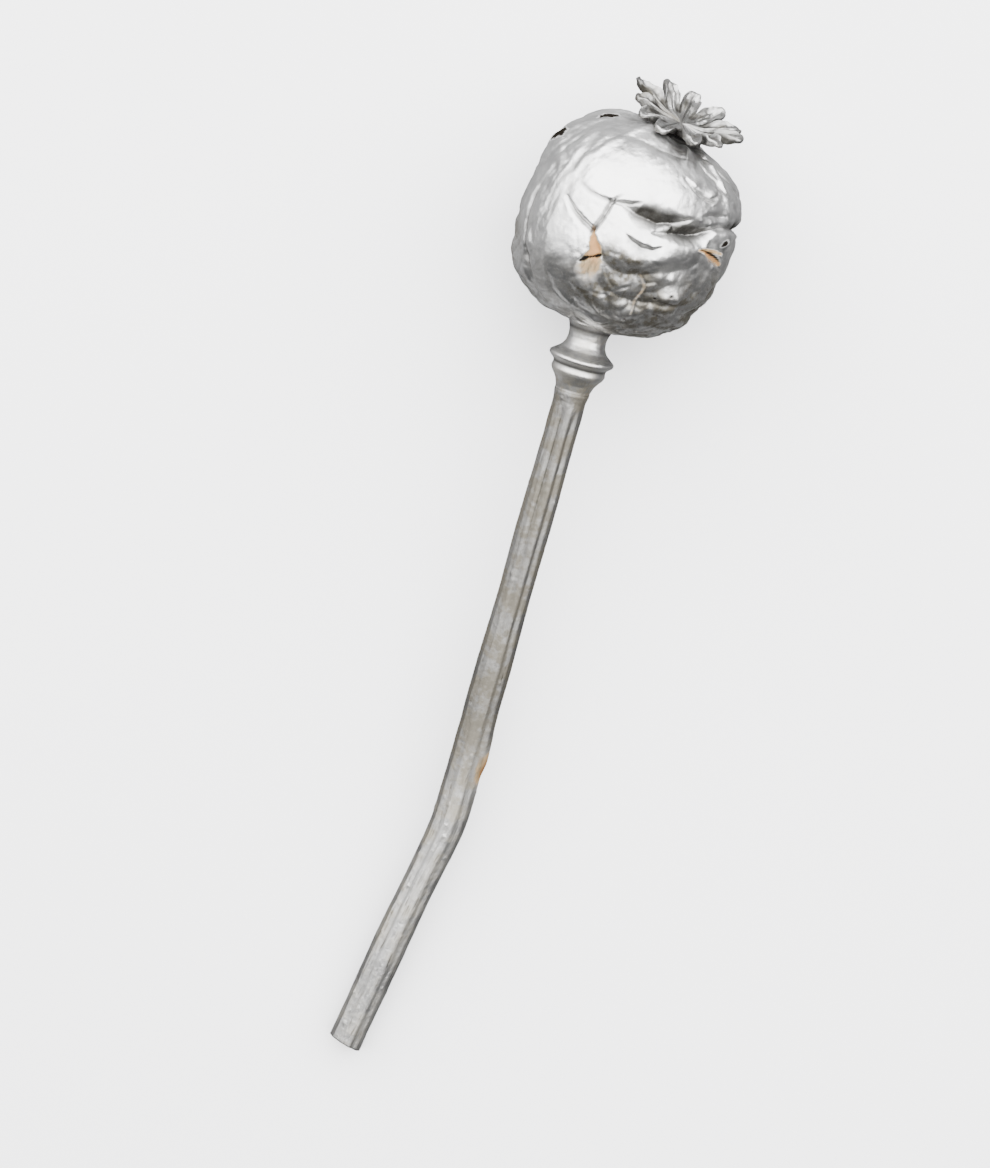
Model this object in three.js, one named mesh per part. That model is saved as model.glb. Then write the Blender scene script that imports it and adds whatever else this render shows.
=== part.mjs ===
// A dried poppy seed head on its cut stem, sprayed silver all over and laid on its side.
// Each piece is drawn as the plant stands: Z runs up the capsule to its crown, the capsule's middle is
// at the origin, and the side that shows best faces -Y. The whole plant is then laid back onto +Y, so
// that this side looks up, the capsule lies on a small flat spot and the stem's cut end touches down.
// Lengths are in millimetres and angles in degrees. A longitude is counted round Z from +X.
import * as THREE from "three";
import { mergeVertices } from "three/addons/utils/BufferGeometryUtils.js";

// The capsule, and the crown's seat on top of it
const CAPSULE_RADIUS = 20;
const CAPSULE_ABOVE = 18; // from the middle up to the shoulders
const CAPSULE_BELOW = 19.9; // from the middle down to the stem
const FULLNESS_ABOVE = 2.25; // 2 gives an ellipsoid, and more gives a squarer body
const FULLNESS_BELOW = 2.4;
const SEAT_HEIGHT = 18.9; // the flat top that carries the crown
const SEAT_RADIUS = 5;
const SEAT_FILLET = 1.6;
const CROWN_LEAN = 9; // the top of the capsule leans to +X
const CROWN_NOD = 12; // the crown and its seat are tipped forward to -Y
const RIB_WIDTH = 0.95;

// The crown: a disc cut into lobes, one over each rib
const LOBE_REACH = 11.4; // from the crown's middle to a lobe's tip
const NOTCH_REACH = 6.2; // from the crown's middle to the cut between two lobes
const CROWN_THICKNESS = 0.95;
const CUP_HEIGHT = 1.3; // how far a lobe's edges curl up
const RAY_HEIGHT = 0.45; // the raised ray along the middle of a lobe
const LOBE_WAIST = 0.08; // how much narrower a lobe is than its share of the round

// The stem, its neck and its double collar
const STEM_LENGTH = 145.4;
const STEM_TOP_RADIUS = 3;
const STEM_END_RADIUS = 3.2;
const STEM_ASIDE = 0.6; // the stem sits a little to +X under the capsule
const STEM_SWELLING = 0.15; // the stem is thickest around its leaf scar
const FLUTES = 10;
const CUT_SLANT = 14;

// How the plant lies, and the clearance between its pieces
const FLAT_SPOT_DEPTH = 0.8; // what the floor side of the capsule is pressed in by
const GAP = 0.3;

// The eleven ribs of the capsule: where each runs, and how far it stands up
const RIBS = [
  [4, 0.45],
  [36, 0.6],
  [68, 0.5],
  [101, 0.35],
  [131, 0.55],
  [164, 0.6],
  [197, 0.25],
  [233, 0.35],
  [257, 0],
  [299, 0.12],
  [331, 0.55],
];

// The lobes of the crown, in the same order: how far each lifts, how its tip bends on, and its length
const LOBES = [
  [27, 2, 1.09],
  [22, 6, 1.05],
  [24, 8, 1.05],
  [24, 8, 1.01],
  [29, 8, 1.02],
  [16, 4, 1.07],
  [13, 2, 0.86],
  [-3, 0, 0.84],
  [4, -6, 0.9],
  [14, -4, 1.06],
  [20, 0, 0.98],
];
const FIRST_LOBE = -8; // the longitude of the first lobe

// The broad swells and dents that make the capsule uneven: longitude, latitude, height and half width
const SWELLS = [
  [162, 51, 0.7, 5.5],
  [-176, 25, 0.6, 5],
  [180, 4, -1.8, 5.5],
  [-176, -19, -1.0, 5],
  [-163, -50, 0.7, 6],
  [-117, 65, 0.8, 3.2],
  [-92, 38, 0.5, 8],
  [-72, 27, 0.4, 4],
  [4, 44, 0.9, 6],
  [-5, -22, -0.5, 5.5],
  [-14, -43, 0.5, 6.5],
  [-78, 4, 0.5, 4.5],
  [-84, -8, 0.9, 3.6],
  [-66, -3, 0.7, 3.4],
  [-54, 6, 0.5, 3],
  [-28, 16, 0.6, 2.6],
  [-42, 40, 0.35, 1.6],
  [-114, -24, -0.7, 3.5],
  [-80, -36, 0.7, 3],
  [-47, -21, 0.8, 2.6],
  [-22, -19, 0.6, 2.6],
  [60, 12, -0.6, 6],
  [128, -28, -0.7, 7],
];

// The folds of the shrunken wall: points along the bottom of each with the depth there, how wide its
// upper and its lower wall are, and how the upper wall curves. 1 gives a straight one with a sharp
// edge, and 2 a soft one.
const FOLDS = [
  {
    path: [
      [-101, 12.5, 0.3],
      [-96, 13.6, 0.6],
      [-91, 13.2, 1.0],
      [-87, 12.4, 1.8],
      [-80, 12.8, 2.4],
      [-75, 12.6, 2.5],
      [-70, 15, 2.0],
      [-64, 17.5, 1.3],
      [-59, 20.3, 0.6],
      [-56, 22, 0.1],
    ],
    upper: 2.8,
    lower: 3.6,
    curve: 1.1,
  },
  {
    path: [
      [-76, 7, 0.3],
      [-70, 8.8, 1.2],
      [-64, 11, 2.0],
      [-58, 12.6, 2.6],
      [-52, 14, 2.8],
      [-47, 16, 2.3],
      [-43, 18.5, 1.4],
      [-38, 21, 0.9],
      [-30, 22.5, 1.0],
      [-20, 23, 1.3],
      [-8, 22.5, 1.7],
      [6, 21, 1.6],
      [20, 19, 0.4],
    ],
    upper: 3,
    lower: 3.4,
    curve: 1.2,
  },
  {
    path: [[-88, 1.5, 0.2], [-84, -0.8, 0.9], [-78, -2, 1.1], [-72.5, -0.8, 1.0], [-69, 2.5, 0.2]],
    upper: 1.1,
    lower: 2.6,
    curve: 1.2,
  },
  {
    path: [
      [-98, -12, 0.15],
      [-93, -15.4, 0.3],
      [-87, -17.5, 0.4],
      [-79, -17.3, 0.4],
      [-73, -15.4, 0.45],
      [-66, -12, 0.55],
      [-56, -7.6, 0.6],
      [-50, -4.7, 0.45],
      [-43, 0.7, 0.15],
    ],
    upper: 3.2,
    lower: 3.2,
    curve: 1.3,
  },
  {
    path: [[-102, 12, 0.6], [-102, 3, 0.6], [-104, -5, 0.7], [-102, -16, 0.4], [-99, -26, 0.2]],
    upper: 1,
    lower: 1,
    curve: 2,
  },
  {
    path: [[-125, 5, 0.2], [-118, 0.5, 0.6], [-112, -2, 0.7], [-104, -4.5, 0.6]],
    upper: 1,
    lower: 1.4,
    curve: 1.5,
  },
  {
    path: [
      [-68, 41, 0.2],
      [-60, 37.6, 0.5],
      [-51, 35.5, 0.7],
      [-46, 34.2, 0.6],
      [-41, 37, 0.4],
      [-38, 42, 0.2],
    ],
    upper: 1.2,
    lower: 1,
    curve: 1.5,
  },
  {
    path: [[-44, 8, 0.3], [-38, 6.5, 0.9], [-32, 4.5, 1.2], [-25, 2.5, 0.8], [-18, 0, 0.3]],
    upper: 1.2,
    lower: 1.4,
    curve: 1.5,
  },
  {
    path: [[-50, 25, 0.2], [-44, 27, 0.6], [-36, 28, 0.7], [-28, 29, 0.2]],
    upper: 1.4,
    lower: 1.2,
    curve: 1.5,
  },
  {
    path: [[-121, 50, 0.15], [-108, 51.5, 0.35], [-95, 52, 0.5], [-82, 54.5, 0.55], [-70, 55, 0.2]],
    upper: 2.6,
    lower: 2.8,
    curve: 2,
  },
  { path: [[-141, 12, 0.4], [-147, -5, 0.7], [-138, -22, 0.4]], upper: 1.8, lower: 1.8, curve: 2 },
  {
    path: [[-84, -29, 0.2], [-70, -31, 0.5], [-56, -28, 0.5], [-40, -24, 0.2]],
    upper: 2.4,
    lower: 1.8,
    curve: 2,
  },
  { path: [[-157, 48, 0.1], [-153, 30, 0.35], [-157, 14, 0.3]], upper: 1.8, lower: 1.8, curve: 2 },
];

// The soft bumps between creases: how many, and how deep the fine creases between them are
const BUMPS = 86;
const BUMP_HEIGHT = 0.8;
const BUMP_CREASE = 0.7;
const BUMP_FLATNESS = 1.5; // the bumps lie crosswise, wider than they are tall

const rad = THREE.MathUtils.degToRad;
const smoothstep = THREE.MathUtils.smoothstep; // (value, from, to)
const GOLDEN_TURN = Math.PI * (3 - Math.sqrt(5));

// A repeatable number from 0 to 1 for the whole number n.
function scatter(n) {
  const value = Math.sin(n * 12.9898 + 4.1414) * 43758.5453;
  return value - Math.floor(value);
}

function bell(distance, width) {
  return Math.exp(-((distance / width) ** 2));
}

// The larger of two heights, with a round fillet where they meet.
function filletedMax(a, b, fillet) {
  const overlap = Math.max(fillet - Math.abs(a - b), 0);
  return Math.max(a, b) + overlap ** 2 / (4 * fillet);
}

function direction(longitude, latitude) {
  const across = Math.cos(rad(latitude));
  return new THREE.Vector3(
    across * Math.cos(rad(longitude)),
    across * Math.sin(rad(longitude)),
    Math.sin(rad(latitude)),
  );
}

// The shorter way round from one longitude to another.
function turnBetween(from, to) {
  return ((((to - from) % 360) + 540) % 360) - 180;
}

// Each fold as the straight strips between its points.
const folds = FOLDS.map(({ path, upper, lower, curve }) => ({
  upper,
  lower,
  curve,
  deepest: Math.max(...path.map(([, , depth]) => depth)),
  strips: path.slice(1).map(([longitude, latitude, endDepth], i) => {
    const from = direction(path[i][0], path[i][1]);
    const to = direction(longitude, latitude);
    const up = to.clone().cross(from).normalize();
    if (up.z < 0) up.negate();
    return { from, way: to.sub(from), up, depth: path[i][2], endDepth };
  }),
}));

const swells = SWELLS.map(([longitude, latitude, height, width]) => ({
  at: direction(longitude, latitude),
  height,
  width,
}));

const bumps = Array.from({ length: BUMPS }, (_, i) => {
  const height = 1 - (2 * (i + 0.5)) / BUMPS;
  const across = Math.sqrt(1 - height * height);
  const turn = i * GOLDEN_TURN + 0.5 * (scatter(i) - 0.5);
  return {
    at: new THREE.Vector3(across * Math.cos(turn), across * Math.sin(turn), height * BUMP_FLATNESS),
    rise: BUMP_HEIGHT * (0.15 + 0.85 * scatter(i + 500)),
  };
});

// How far the ribs stand up in one direction: strongest near the crown, gone near the stem.
function ribRelief(longitude, latitude) {
  const lift = 0.35 + 0.65 * smoothstep(latitude, 5, 60);
  const fade = smoothstep(latitude, -75, -35) * lift;
  const wander = 2.5 * Math.sin(rad(4 * latitude + longitude));
  return RIBS.reduce((sum, [at, height]) => {
    const side = rad(turnBetween(at + wander, longitude)) * Math.cos(rad(latitude)) * CAPSULE_RADIUS;
    return sum + fade * height * bell(side, RIB_WIDTH);
  }, 0);
}

// One fold: its upper wall turns in under the skin above, and its lower wall rises gently.
function oneFold(toward, { upper, lower, curve, deepest, strips }) {
  let away = Infinity;
  let above = 0;
  let depth = 0;
  for (const strip of strips) {
    const share = THREE.MathUtils.clamp(
      toward.clone().sub(strip.from).dot(strip.way) / strip.way.lengthSq(),
      0,
      1,
    );
    const offset = toward.clone().sub(strip.from).addScaledVector(strip.way, -share);
    const distance = offset.length() * CAPSULE_RADIUS;
    if (distance < away) {
      away = distance;
      above = offset.dot(strip.up) * CAPSULE_RADIUS;
      depth = THREE.MathUtils.lerp(strip.depth, strip.endDepth, share);
    }
  }
  const width = Math.max(depth / deepest, 0.15) * (above > 0 ? upper : lower);
  return -depth * Math.max(1 - away / width, 0) ** (above > 0 ? curve : 2);
}

function foldRelief(toward) {
  return folds.reduce((sum, fold) => sum + oneFold(toward, fold), 0);
}

function swellRelief(toward) {
  return swells.reduce(
    (sum, { at, height, width }) => sum + height * bell(toward.distanceTo(at) * CAPSULE_RADIUS, width),
    0,
  );
}

// Crumpled bumps: each point belongs to its nearest bump, with a crease where two are equally near.
function crumpleRelief(toward) {
  const { x, y, z } = toward;
  const warped = new THREE.Vector3(
    x + 0.07 * Math.sin(7 * y + 1),
    y + 0.07 * Math.sin(6 * z + 2),
    (z + 0.05 * Math.sin(8 * x)) * BUMP_FLATNESS,
  );
  let nearest = Infinity;
  let second = Infinity;
  let rise = 0;
  for (const bump of bumps) {
    const away = warped.distanceTo(bump.at) * CAPSULE_RADIUS;
    if (away < nearest) {
      second = nearest;
      nearest = away;
      rise = bump.rise;
    } else if (away < second) second = away;
  }
  const edge = second - nearest;
  const sharpness = 0.55 + 0.45 * Math.sin(5 * x + 3 * z) * Math.sin(4 * y - 2 * z);
  return rise * (1 - bell(edge, 4.2)) - BUMP_CREASE * sharpness * bell(edge, 1.5);
}

// Where the wall is crumpled: not on the smooth shoulders, less on the side with its own folds,
// and little at the stem and on the floor side.
function crumpleShare(longitude, latitude) {
  const shoulders = 1 - 0.85 * smoothstep(latitude, 22, 50);
  const base = smoothstep(latitude, -85, -30);
  const smoothness = 0.5 + 0.38 * smoothstep(latitude, -36, -8);
  const front = 1 - smoothness * bell(turnBetween(-86, longitude), 115);
  const floorSide = 1 - 0.75 * bell(Math.hypot(turnBetween(90, longitude), latitude + 6), 22);
  return shoulders * base * front * floorSide;
}

const SEAT_FACING = new THREE.Vector3(0, -Math.sin(rad(CROWN_NOD)), Math.cos(rad(CROWN_NOD)));

// From the capsule's middle to its skin.
function skinDistance(toward) {
  const across = Math.hypot(toward.x, toward.y);
  const longitude = THREE.MathUtils.radToDeg(Math.atan2(toward.y, toward.x));
  const latitude = THREE.MathUtils.radToDeg(Math.atan2(toward.z, across));
  const half = toward.z > 0 ? CAPSULE_ABOVE : CAPSULE_BELOW;
  const full = toward.z > 0 ? FULLNESS_ABOVE : FULLNESS_BELOW;
  const round = (across / CAPSULE_RADIUS) ** full + Math.abs(toward.z / half) ** full;
  const relief =
    ribRelief(longitude, latitude) +
    foldRelief(toward) * smoothstep(latitude, -85, -60) +
    swellRelief(toward) +
    crumpleRelief(toward) * crumpleShare(longitude, latitude);
  const body = round ** (-1 / full) + relief * smoothstep(90 - latitude, 8, 22) - 0.25;
  if (toward.z <= 0) return body;
  const top = (SEAT_HEIGHT * SEAT_FACING.z) / Math.max(toward.dot(SEAT_FACING), 1e-6);
  const seat = Math.min(top, SEAT_RADIUS / Math.max(across, 1e-6));
  return seat >= top ? seat : filletedMax(body, seat, SEAT_FILLET);
}

// Tips the upper capsule and the crown over to +X, most at the very top.
function lean(point, share) {
  return point.applyAxisAngle(new THREE.Vector3(0, 1, 0), rad(CROWN_LEAN) * share);
}

// How the plant lies: tipped by REST_TILT, so that the stem's end comes down to the floor.
const MIDDLE_HEIGHT = CAPSULE_RADIUS - FLAT_SPOT_DEPTH;
const REST_TILT = Math.asin((MIDDLE_HEIGHT - STEM_END_RADIUS) / (CAPSULE_BELOW + STEM_LENGTH));
const FLOOR_NORMAL = new THREE.Vector3(0, -Math.cos(REST_TILT), Math.sin(REST_TILT));

// Presses a point that would be under the floor up onto it.
function pressed(point) {
  const height = point.dot(FLOOR_NORMAL) + MIDDLE_HEIGHT;
  return height < 0 ? point.addScaledVector(FLOOR_NORMAL, -height) : point;
}

// A closed surface of rings round Z, from a pole above to a pole below. place(turn, ring) gives the
// point at a longitude on a ring, and on the first and last ring it is the same point all round.
function ringed(columns, rings, place) {
  const geometry = new THREE.SphereGeometry(1, columns, rings);
  const { uv, position } = geometry.attributes;
  for (let i = 0; i < position.count; i += 1) {
    const ring = Math.round((1 - uv.getY(i)) * rings);
    const atPole = ring === 0 || ring === rings;
    const turn = atPole ? 0 : 360 * uv.getX(i);
    const point = pressed(place(turn, ring));
    position.setXYZ(i, point.x, point.y, point.z);
  }
  geometry.deleteAttribute("normal");
  geometry.deleteAttribute("uv");
  const merged = mergeVertices(geometry, 1e-4);
  merged.computeVertexNormals();
  return merged;
}

function evenSteps(from, to, count) {
  return Array.from({ length: count }, (_, i) => from + ((to - from) * i) / (count - 1));
}

// The capsule's rings, as angles down from its top: close together round the crown's seat
const SEAT_EDGE = THREE.MathUtils.radToDeg(Math.atan2(SEAT_RADIUS, SEAT_HEIGHT));
const CAPSULE_RINGS = [0, 8, SEAT_EDGE, 16, 17.5, 19.5, 22, ...evenSteps(25.5, 173, 43), 180];
const CAPSULE_COLUMNS = 96;
const FRONT_CROWDING = 20; // the columns stand closer together on the side with the deep folds

function capsuleGeometry() {
  return ringed(CAPSULE_COLUMNS, CAPSULE_RINGS.length - 1, (turn, ring) => {
    const longitude = turn - FRONT_CROWDING * Math.sin(rad(turn + 90));
    const toward = direction(longitude, 90 - CAPSULE_RINGS[ring]);
    const share = (1 + toward.z) / 2;
    return lean(toward.multiplyScalar(skinDistance(toward)), share);
  });
}

// The crown's cut edge: rounded lobes with narrow cuts between them. side runs from -1 to 1 across a lobe.
function lobeOutline(side, length) {
  const round = (1 - Math.abs(side) ** 2.6) ** 0.65;
  return NOTCH_REACH + (LOBE_REACH * length - NOTCH_REACH) * round;
}

// A point of the crown, in the crown's own frame: its underside's middle at the origin, Z up.
// face is 1 on the top and -1 on the underside, share runs from the middle, 0, to the edge, 1.
function crownPoint(turn, share, face) {
  const place = ((turn - FIRST_LOBE) / 360) * LOBES.length;
  const index = Math.round(place);
  const side = 2 * (place - index);
  const lobe = LOBES[(index + LOBES.length) % LOBES.length];
  const beside = LOBES[(index + Math.sign(side) + LOBES.length) % LOBES.length];
  const join = 0.5 * Math.abs(side) ** 4;
  const lift = lobe[0] * (1 - join) + beside[0] * join;
  const bend = lobe[1] * (1 - join) + beside[1] * join;
  const reach = lobeOutline(side, lobe[2]);

  // Walk out along the lobe, turning up as it goes.
  const steps = 16;
  let out = 0;
  let up = 0;
  let slope = 0;
  for (let i = 0; i < steps; i += 1) {
    const gone = (reach * share * (i + 0.5)) / steps;
    slope = rad(lift * smoothstep(gone, 2.5, 6.5) + bend * smoothstep(gone, 7.5, LOBE_REACH));
    out += (Math.cos(slope) * reach * share) / steps;
    up += (Math.sin(slope) * reach * share) / steps;
  }
  const gone = reach * share;
  const cup = CUP_HEIGHT * Math.abs(side) ** 2.4 * smoothstep(gone, SEAT_RADIUS, 9);
  const ray = RAY_HEIGHT * bell(side, 0.42) * smoothstep(gone, 0, 2) * (1 - smoothstep(share, 0.8, 1));
  const thickness = CROWN_THICKNESS * (1 - 0.25 * smoothstep(gone, 6, LOBE_REACH));
  const over = cup + (face > 0 ? thickness + ray : 0);
  const radius = out - Math.sin(slope) * over;
  const height = up + Math.cos(slope) * over;
  const narrowing = (180 / LOBES.length) * LOBE_WAIST * side * smoothstep(gone, 4.8, 8.5);
  const around = rad(turn - narrowing);
  return new THREE.Vector3(radius * Math.cos(around), radius * Math.sin(around), height);
}

const LOBE_COLUMNS = 8;
const CROWN_STEPS = [0, 0.22, 0.42, 0.56, 0.7, 0.83, 0.93, 1];

function crownGeometry() {
  const last = CROWN_STEPS.length - 1;
  return ringed(LOBES.length * LOBE_COLUMNS, 2 * last + 1, (turn, ring) => {
    const face = ring <= last ? 1 : -1;
    const share = CROWN_STEPS[face > 0 ? ring : 2 * last + 1 - ring];
    const point = crownPoint(turn + FIRST_LOBE, share, face);
    point.z += GAP;
    point.applyAxisAngle(new THREE.Vector3(1, 0, 0), rad(CROWN_NOD));
    point.z += SEAT_HEIGHT;
    return lean(point, 1);
  });
}

// The stem's outline below the capsule: the neck, the two rings of the collar, the taper and the scar
// where the flower's leaves sat. Each pair is how far down, and the radius there.
const NECK_OUTLINE = [
  [0, 3.87],
  [0.9, 3.62],
  [2.0, 3.5],
  [3.1, 3.68],
  [4.1, 4.3],
  [4.8, 5.18],
  [5.3, 5.9],
  [5.7, 6.07],
  [6.1, 5.85],
  [6.6, 5.18],
  [7.1, 4.87],
  [7.6, 4.93],
  [8.1, 5.03],
  [8.7, 4.78],
  [9.5, 4.15],
  [10.4, 3.58],
  [11.5, 3.22],
  [12.3, 3.25],
  [12.8, 3.13],
  [13.7, STEM_TOP_RADIUS],
];
const NECK_END = NECK_OUTLINE.at(-1)[0];

// Grooves along the stem: where each lies round it and its depth
const GROOVES = [
  [-112, 0.42],
  [-62, 0.2],
  [-160, 0.25],
  [20, 0.3],
  [95, 0.2],
  [150, 0.3],
];
const LEAF_SCAR = { down: 82.4, at: -18, height: 0.6 }; // where a leaf was torn off

// How far the stem's line is turned to +X, at a distance down from the capsule.
function stemHeading(down) {
  return rad(4.2 - 10.1 * smoothstep(down, 91.4, 103.4) + 1.6 * smoothstep(down, 109.4, 123.4));
}

// The middle of the stem at a distance down, found by adding up short steps.
function stemMiddle(down) {
  const steps = 200;
  const middle = new THREE.Vector3(STEM_ASIDE, 0, -CAPSULE_BELOW - GAP);
  for (let i = 0; i < steps; i += 1) {
    const heading = stemHeading((down * (i + 0.5)) / steps);
    middle.x += (Math.sin(heading) * down) / steps;
    middle.z -= (Math.cos(heading) * down) / steps;
  }
  return middle;
}

function stemRadius(down, turn) {
  const bare = smoothstep(down, NECK_END, NECK_END + 4);
  const flutes = 0.09 * Math.cos(rad(FLUTES * turn)) * bare;
  const grooves = GROOVES.reduce((sum, [at, depth]) => {
    const side = rad(turnBetween(at + 6 * Math.sin(down / 23), turn)) * STEM_TOP_RADIUS;
    return sum + depth * bell(side, 0.5) * bare * (1 - 0.65 * smoothstep(down, 25, 75));
  }, 0);
  const swelling = STEM_SWELLING * bell(down - LEAF_SCAR.down, 20) + 0.07 * Math.sin(down / 4.7) * bare;
  const scar =
    LEAF_SCAR.height *
    bell(rad(turnBetween(LEAF_SCAR.at, turn)) * STEM_TOP_RADIUS, 1.5) *
    smoothstep(down, LEAF_SCAR.down - 9, LEAF_SCAR.down) *
    (1 - smoothstep(down, LEAF_SCAR.down + 1, LEAF_SCAR.down + 5));
  const next = NECK_OUTLINE.findIndex(([at]) => at >= down);
  if (down >= NECK_END) {
    const share = (down - NECK_END) / (STEM_LENGTH - NECK_END);
    const plain = THREE.MathUtils.lerp(STEM_TOP_RADIUS, STEM_END_RADIUS, share);
    return plain + flutes - grooves + swelling + scar;
  }
  if (next <= 0) return NECK_OUTLINE[0][1];
  const [from, start] = NECK_OUTLINE[next - 1];
  const [to, end] = NECK_OUTLINE[next];
  return THREE.MathUtils.lerp(start, end, (down - from) / (to - from));
}

const STEM_COLUMNS = 30;
const STEM_STATIONS = [...NECK_OUTLINE.map(([down]) => down), ...evenSteps(17, STEM_LENGTH, 32)];

function stemGeometry() {
  const last = STEM_STATIONS.length - 1;
  const middles = STEM_STATIONS.map(stemMiddle);
  return ringed(STEM_COLUMNS, last + 2, (turn, ring) => {
    const station = THREE.MathUtils.clamp(ring - 1, 0, last);
    const heading = stemHeading(STEM_STATIONS[station]);
    const along = new THREE.Vector3(Math.sin(heading), 0, -Math.cos(heading));
    const aside = new THREE.Vector3(Math.cos(heading), 0, Math.sin(heading));
    const middle = middles[station].clone();
    if (ring === 0 || ring === last + 2) return middle;
    const radius = stemRadius(STEM_STATIONS[station], turn);
    const slant = station === last ? radius * Math.tan(rad(CUT_SLANT)) * Math.cos(rad(turn - 60)) : 0;
    middle.addScaledVector(aside, radius * Math.cos(rad(turn)));
    middle.y += radius * Math.sin(rad(turn));
    return middle.addScaledVector(along, slant);
  });
}

function silver(color, roughness) {
  return new THREE.MeshStandardMaterial({ color, roughness, metalness: 0.85 });
}

function piece(name, geometry, material) {
  const mesh = new THREE.Mesh(geometry, material);
  mesh.name = name;
  return mesh;
}

const seedHead = new THREE.Group();
seedHead.add(
  piece("capsule", capsuleGeometry(), silver(0xc6c3bf, 0.34)),
  piece("crown", crownGeometry(), silver(0xb9b7b4, 0.5)),
  piece("stem", stemGeometry(), silver(0xbab7b2, 0.42)),
);
seedHead.rotation.x = REST_TILT - Math.PI / 2;
seedHead.position.z = MIDDLE_HEIGHT;

const poppyHead = new THREE.Group();
poppyHead.add(seedHead);

export default poppyHead;
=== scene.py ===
"""A dried poppy seed head on its cut stem, sprayed silver and laid on a pale table.

Each piece is drawn as the plant stands, in millimetres: Z runs up the capsule to its crown, the
capsule's middle is at the origin, and the side that shows best faces -Y. A longitude is counted
round Z from +X, in degrees. The piece is then laid back onto +Y, turned into metres, and takes the
place of the solid of the same name.
"""

import math

import bmesh
import bpy
import numpy as np
from mathutils import Matrix, Vector, noise


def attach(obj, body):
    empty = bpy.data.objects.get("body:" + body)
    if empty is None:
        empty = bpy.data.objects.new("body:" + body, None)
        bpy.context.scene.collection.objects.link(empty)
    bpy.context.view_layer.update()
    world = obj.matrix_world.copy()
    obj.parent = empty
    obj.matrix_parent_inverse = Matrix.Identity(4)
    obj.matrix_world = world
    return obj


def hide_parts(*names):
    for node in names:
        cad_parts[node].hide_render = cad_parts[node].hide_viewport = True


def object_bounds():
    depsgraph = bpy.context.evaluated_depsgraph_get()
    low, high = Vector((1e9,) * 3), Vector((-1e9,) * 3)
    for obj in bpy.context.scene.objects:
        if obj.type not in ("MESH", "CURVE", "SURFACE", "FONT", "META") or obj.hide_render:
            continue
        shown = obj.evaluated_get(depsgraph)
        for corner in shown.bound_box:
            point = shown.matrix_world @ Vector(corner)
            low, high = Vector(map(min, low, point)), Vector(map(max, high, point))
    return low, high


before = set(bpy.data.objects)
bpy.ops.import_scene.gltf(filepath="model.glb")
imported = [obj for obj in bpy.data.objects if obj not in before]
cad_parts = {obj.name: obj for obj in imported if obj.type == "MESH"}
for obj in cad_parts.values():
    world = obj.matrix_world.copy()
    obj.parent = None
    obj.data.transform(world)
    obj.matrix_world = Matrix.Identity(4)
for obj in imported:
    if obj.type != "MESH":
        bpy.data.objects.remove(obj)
solid_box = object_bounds()

bl_info = {
    "name": "Silver poppy seed head",
    "version": (1, 0, 0),
    "blender": (4, 5, 0),
    "location": "3D View > Sidebar > Poppy head",
    "description": "Builds a dried poppy seed head sprayed silver, and the table it lies on",
    "category": "Add Mesh",
}

MM = 0.001

# The capsule's form
FULLNESS_ABOVE = 2.25  # 2 gives an ellipsoid, and more gives a squarer body
FULLNESS_BELOW = 2.4
SKIN_INSET = 0.25
SEAT_HEIGHT = 18.9  # the flat top that carries the crown
SEAT_RADIUS = 5.0
SEAT_FILLET = 1.6
CROWN_LEAN = 9.0  # the top of the capsule leans to +X
CROWN_NOD = 12.0  # the crown and its seat are tipped forward to -Y
RIB_WIDTH = 0.95
GAP = 0.3
FLAT_SPOT_DEPTH = 0.8  # what the floor side of the capsule is pressed in by

# The eleven ribs: where each runs, and how far it stands up
RIBS = [
    (4, 0.45),
    (36, 0.6),
    (68, 0.5),
    (101, 0.35),
    (131, 0.55),
    (164, 0.6),
    (197, 0.25),
    (233, 0.35),
    (257, 0.0),
    (299, 0.12),
    (331, 0.55),
]

# The broad swells and dents: longitude, latitude, height and half width
SWELLS = [
    (162, 51, 0.7, 5.5),
    (-176, 25, 0.6, 5),
    (180, 4, -1.8, 5.5),
    (-176, -19, -1.0, 5),
    (-163, -50, 0.7, 6),
    (-117, 65, 0.8, 3.2),
    (-92, 38, 0.5, 8),
    (-72, 27, 0.4, 4),
    (4, 44, 0.9, 6),
    (-5, -22, -0.5, 5.5),
    (-14, -43, 0.5, 6.5),
    (-78, 4, 0.5, 4.5),
    (-84, -8, 1.2, 3.6),
    (-66, -3, 0.95, 3.4),
    (-54, 6, 0.5, 3.0),
    (-28, 16, 0.6, 2.6),
    (-42, 40, 0.35, 1.6),
    (-115, -22, 0.7, 6.0),
    (-116, -37, -0.35, 4.0),
    (-80, -36, 0.7, 3.0),
    (-47, -21, 0.8, 2.6),
    (-22, -19, 0.6, 2.6),
    (-62, -12.6, 0.45, 1.0),
    (-55, -11.4, 0.4, 0.9),
    (-54, -22.5, 0.5, 1.1),
    (-47, -20, 0.5, 1.1),
    (-86, -52, 0.45, 1.2),
    (-72, -41, 0.45, 1.2),
    (60, 12, -0.6, 6),
    (128, -28, -0.7, 7),
]

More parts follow.
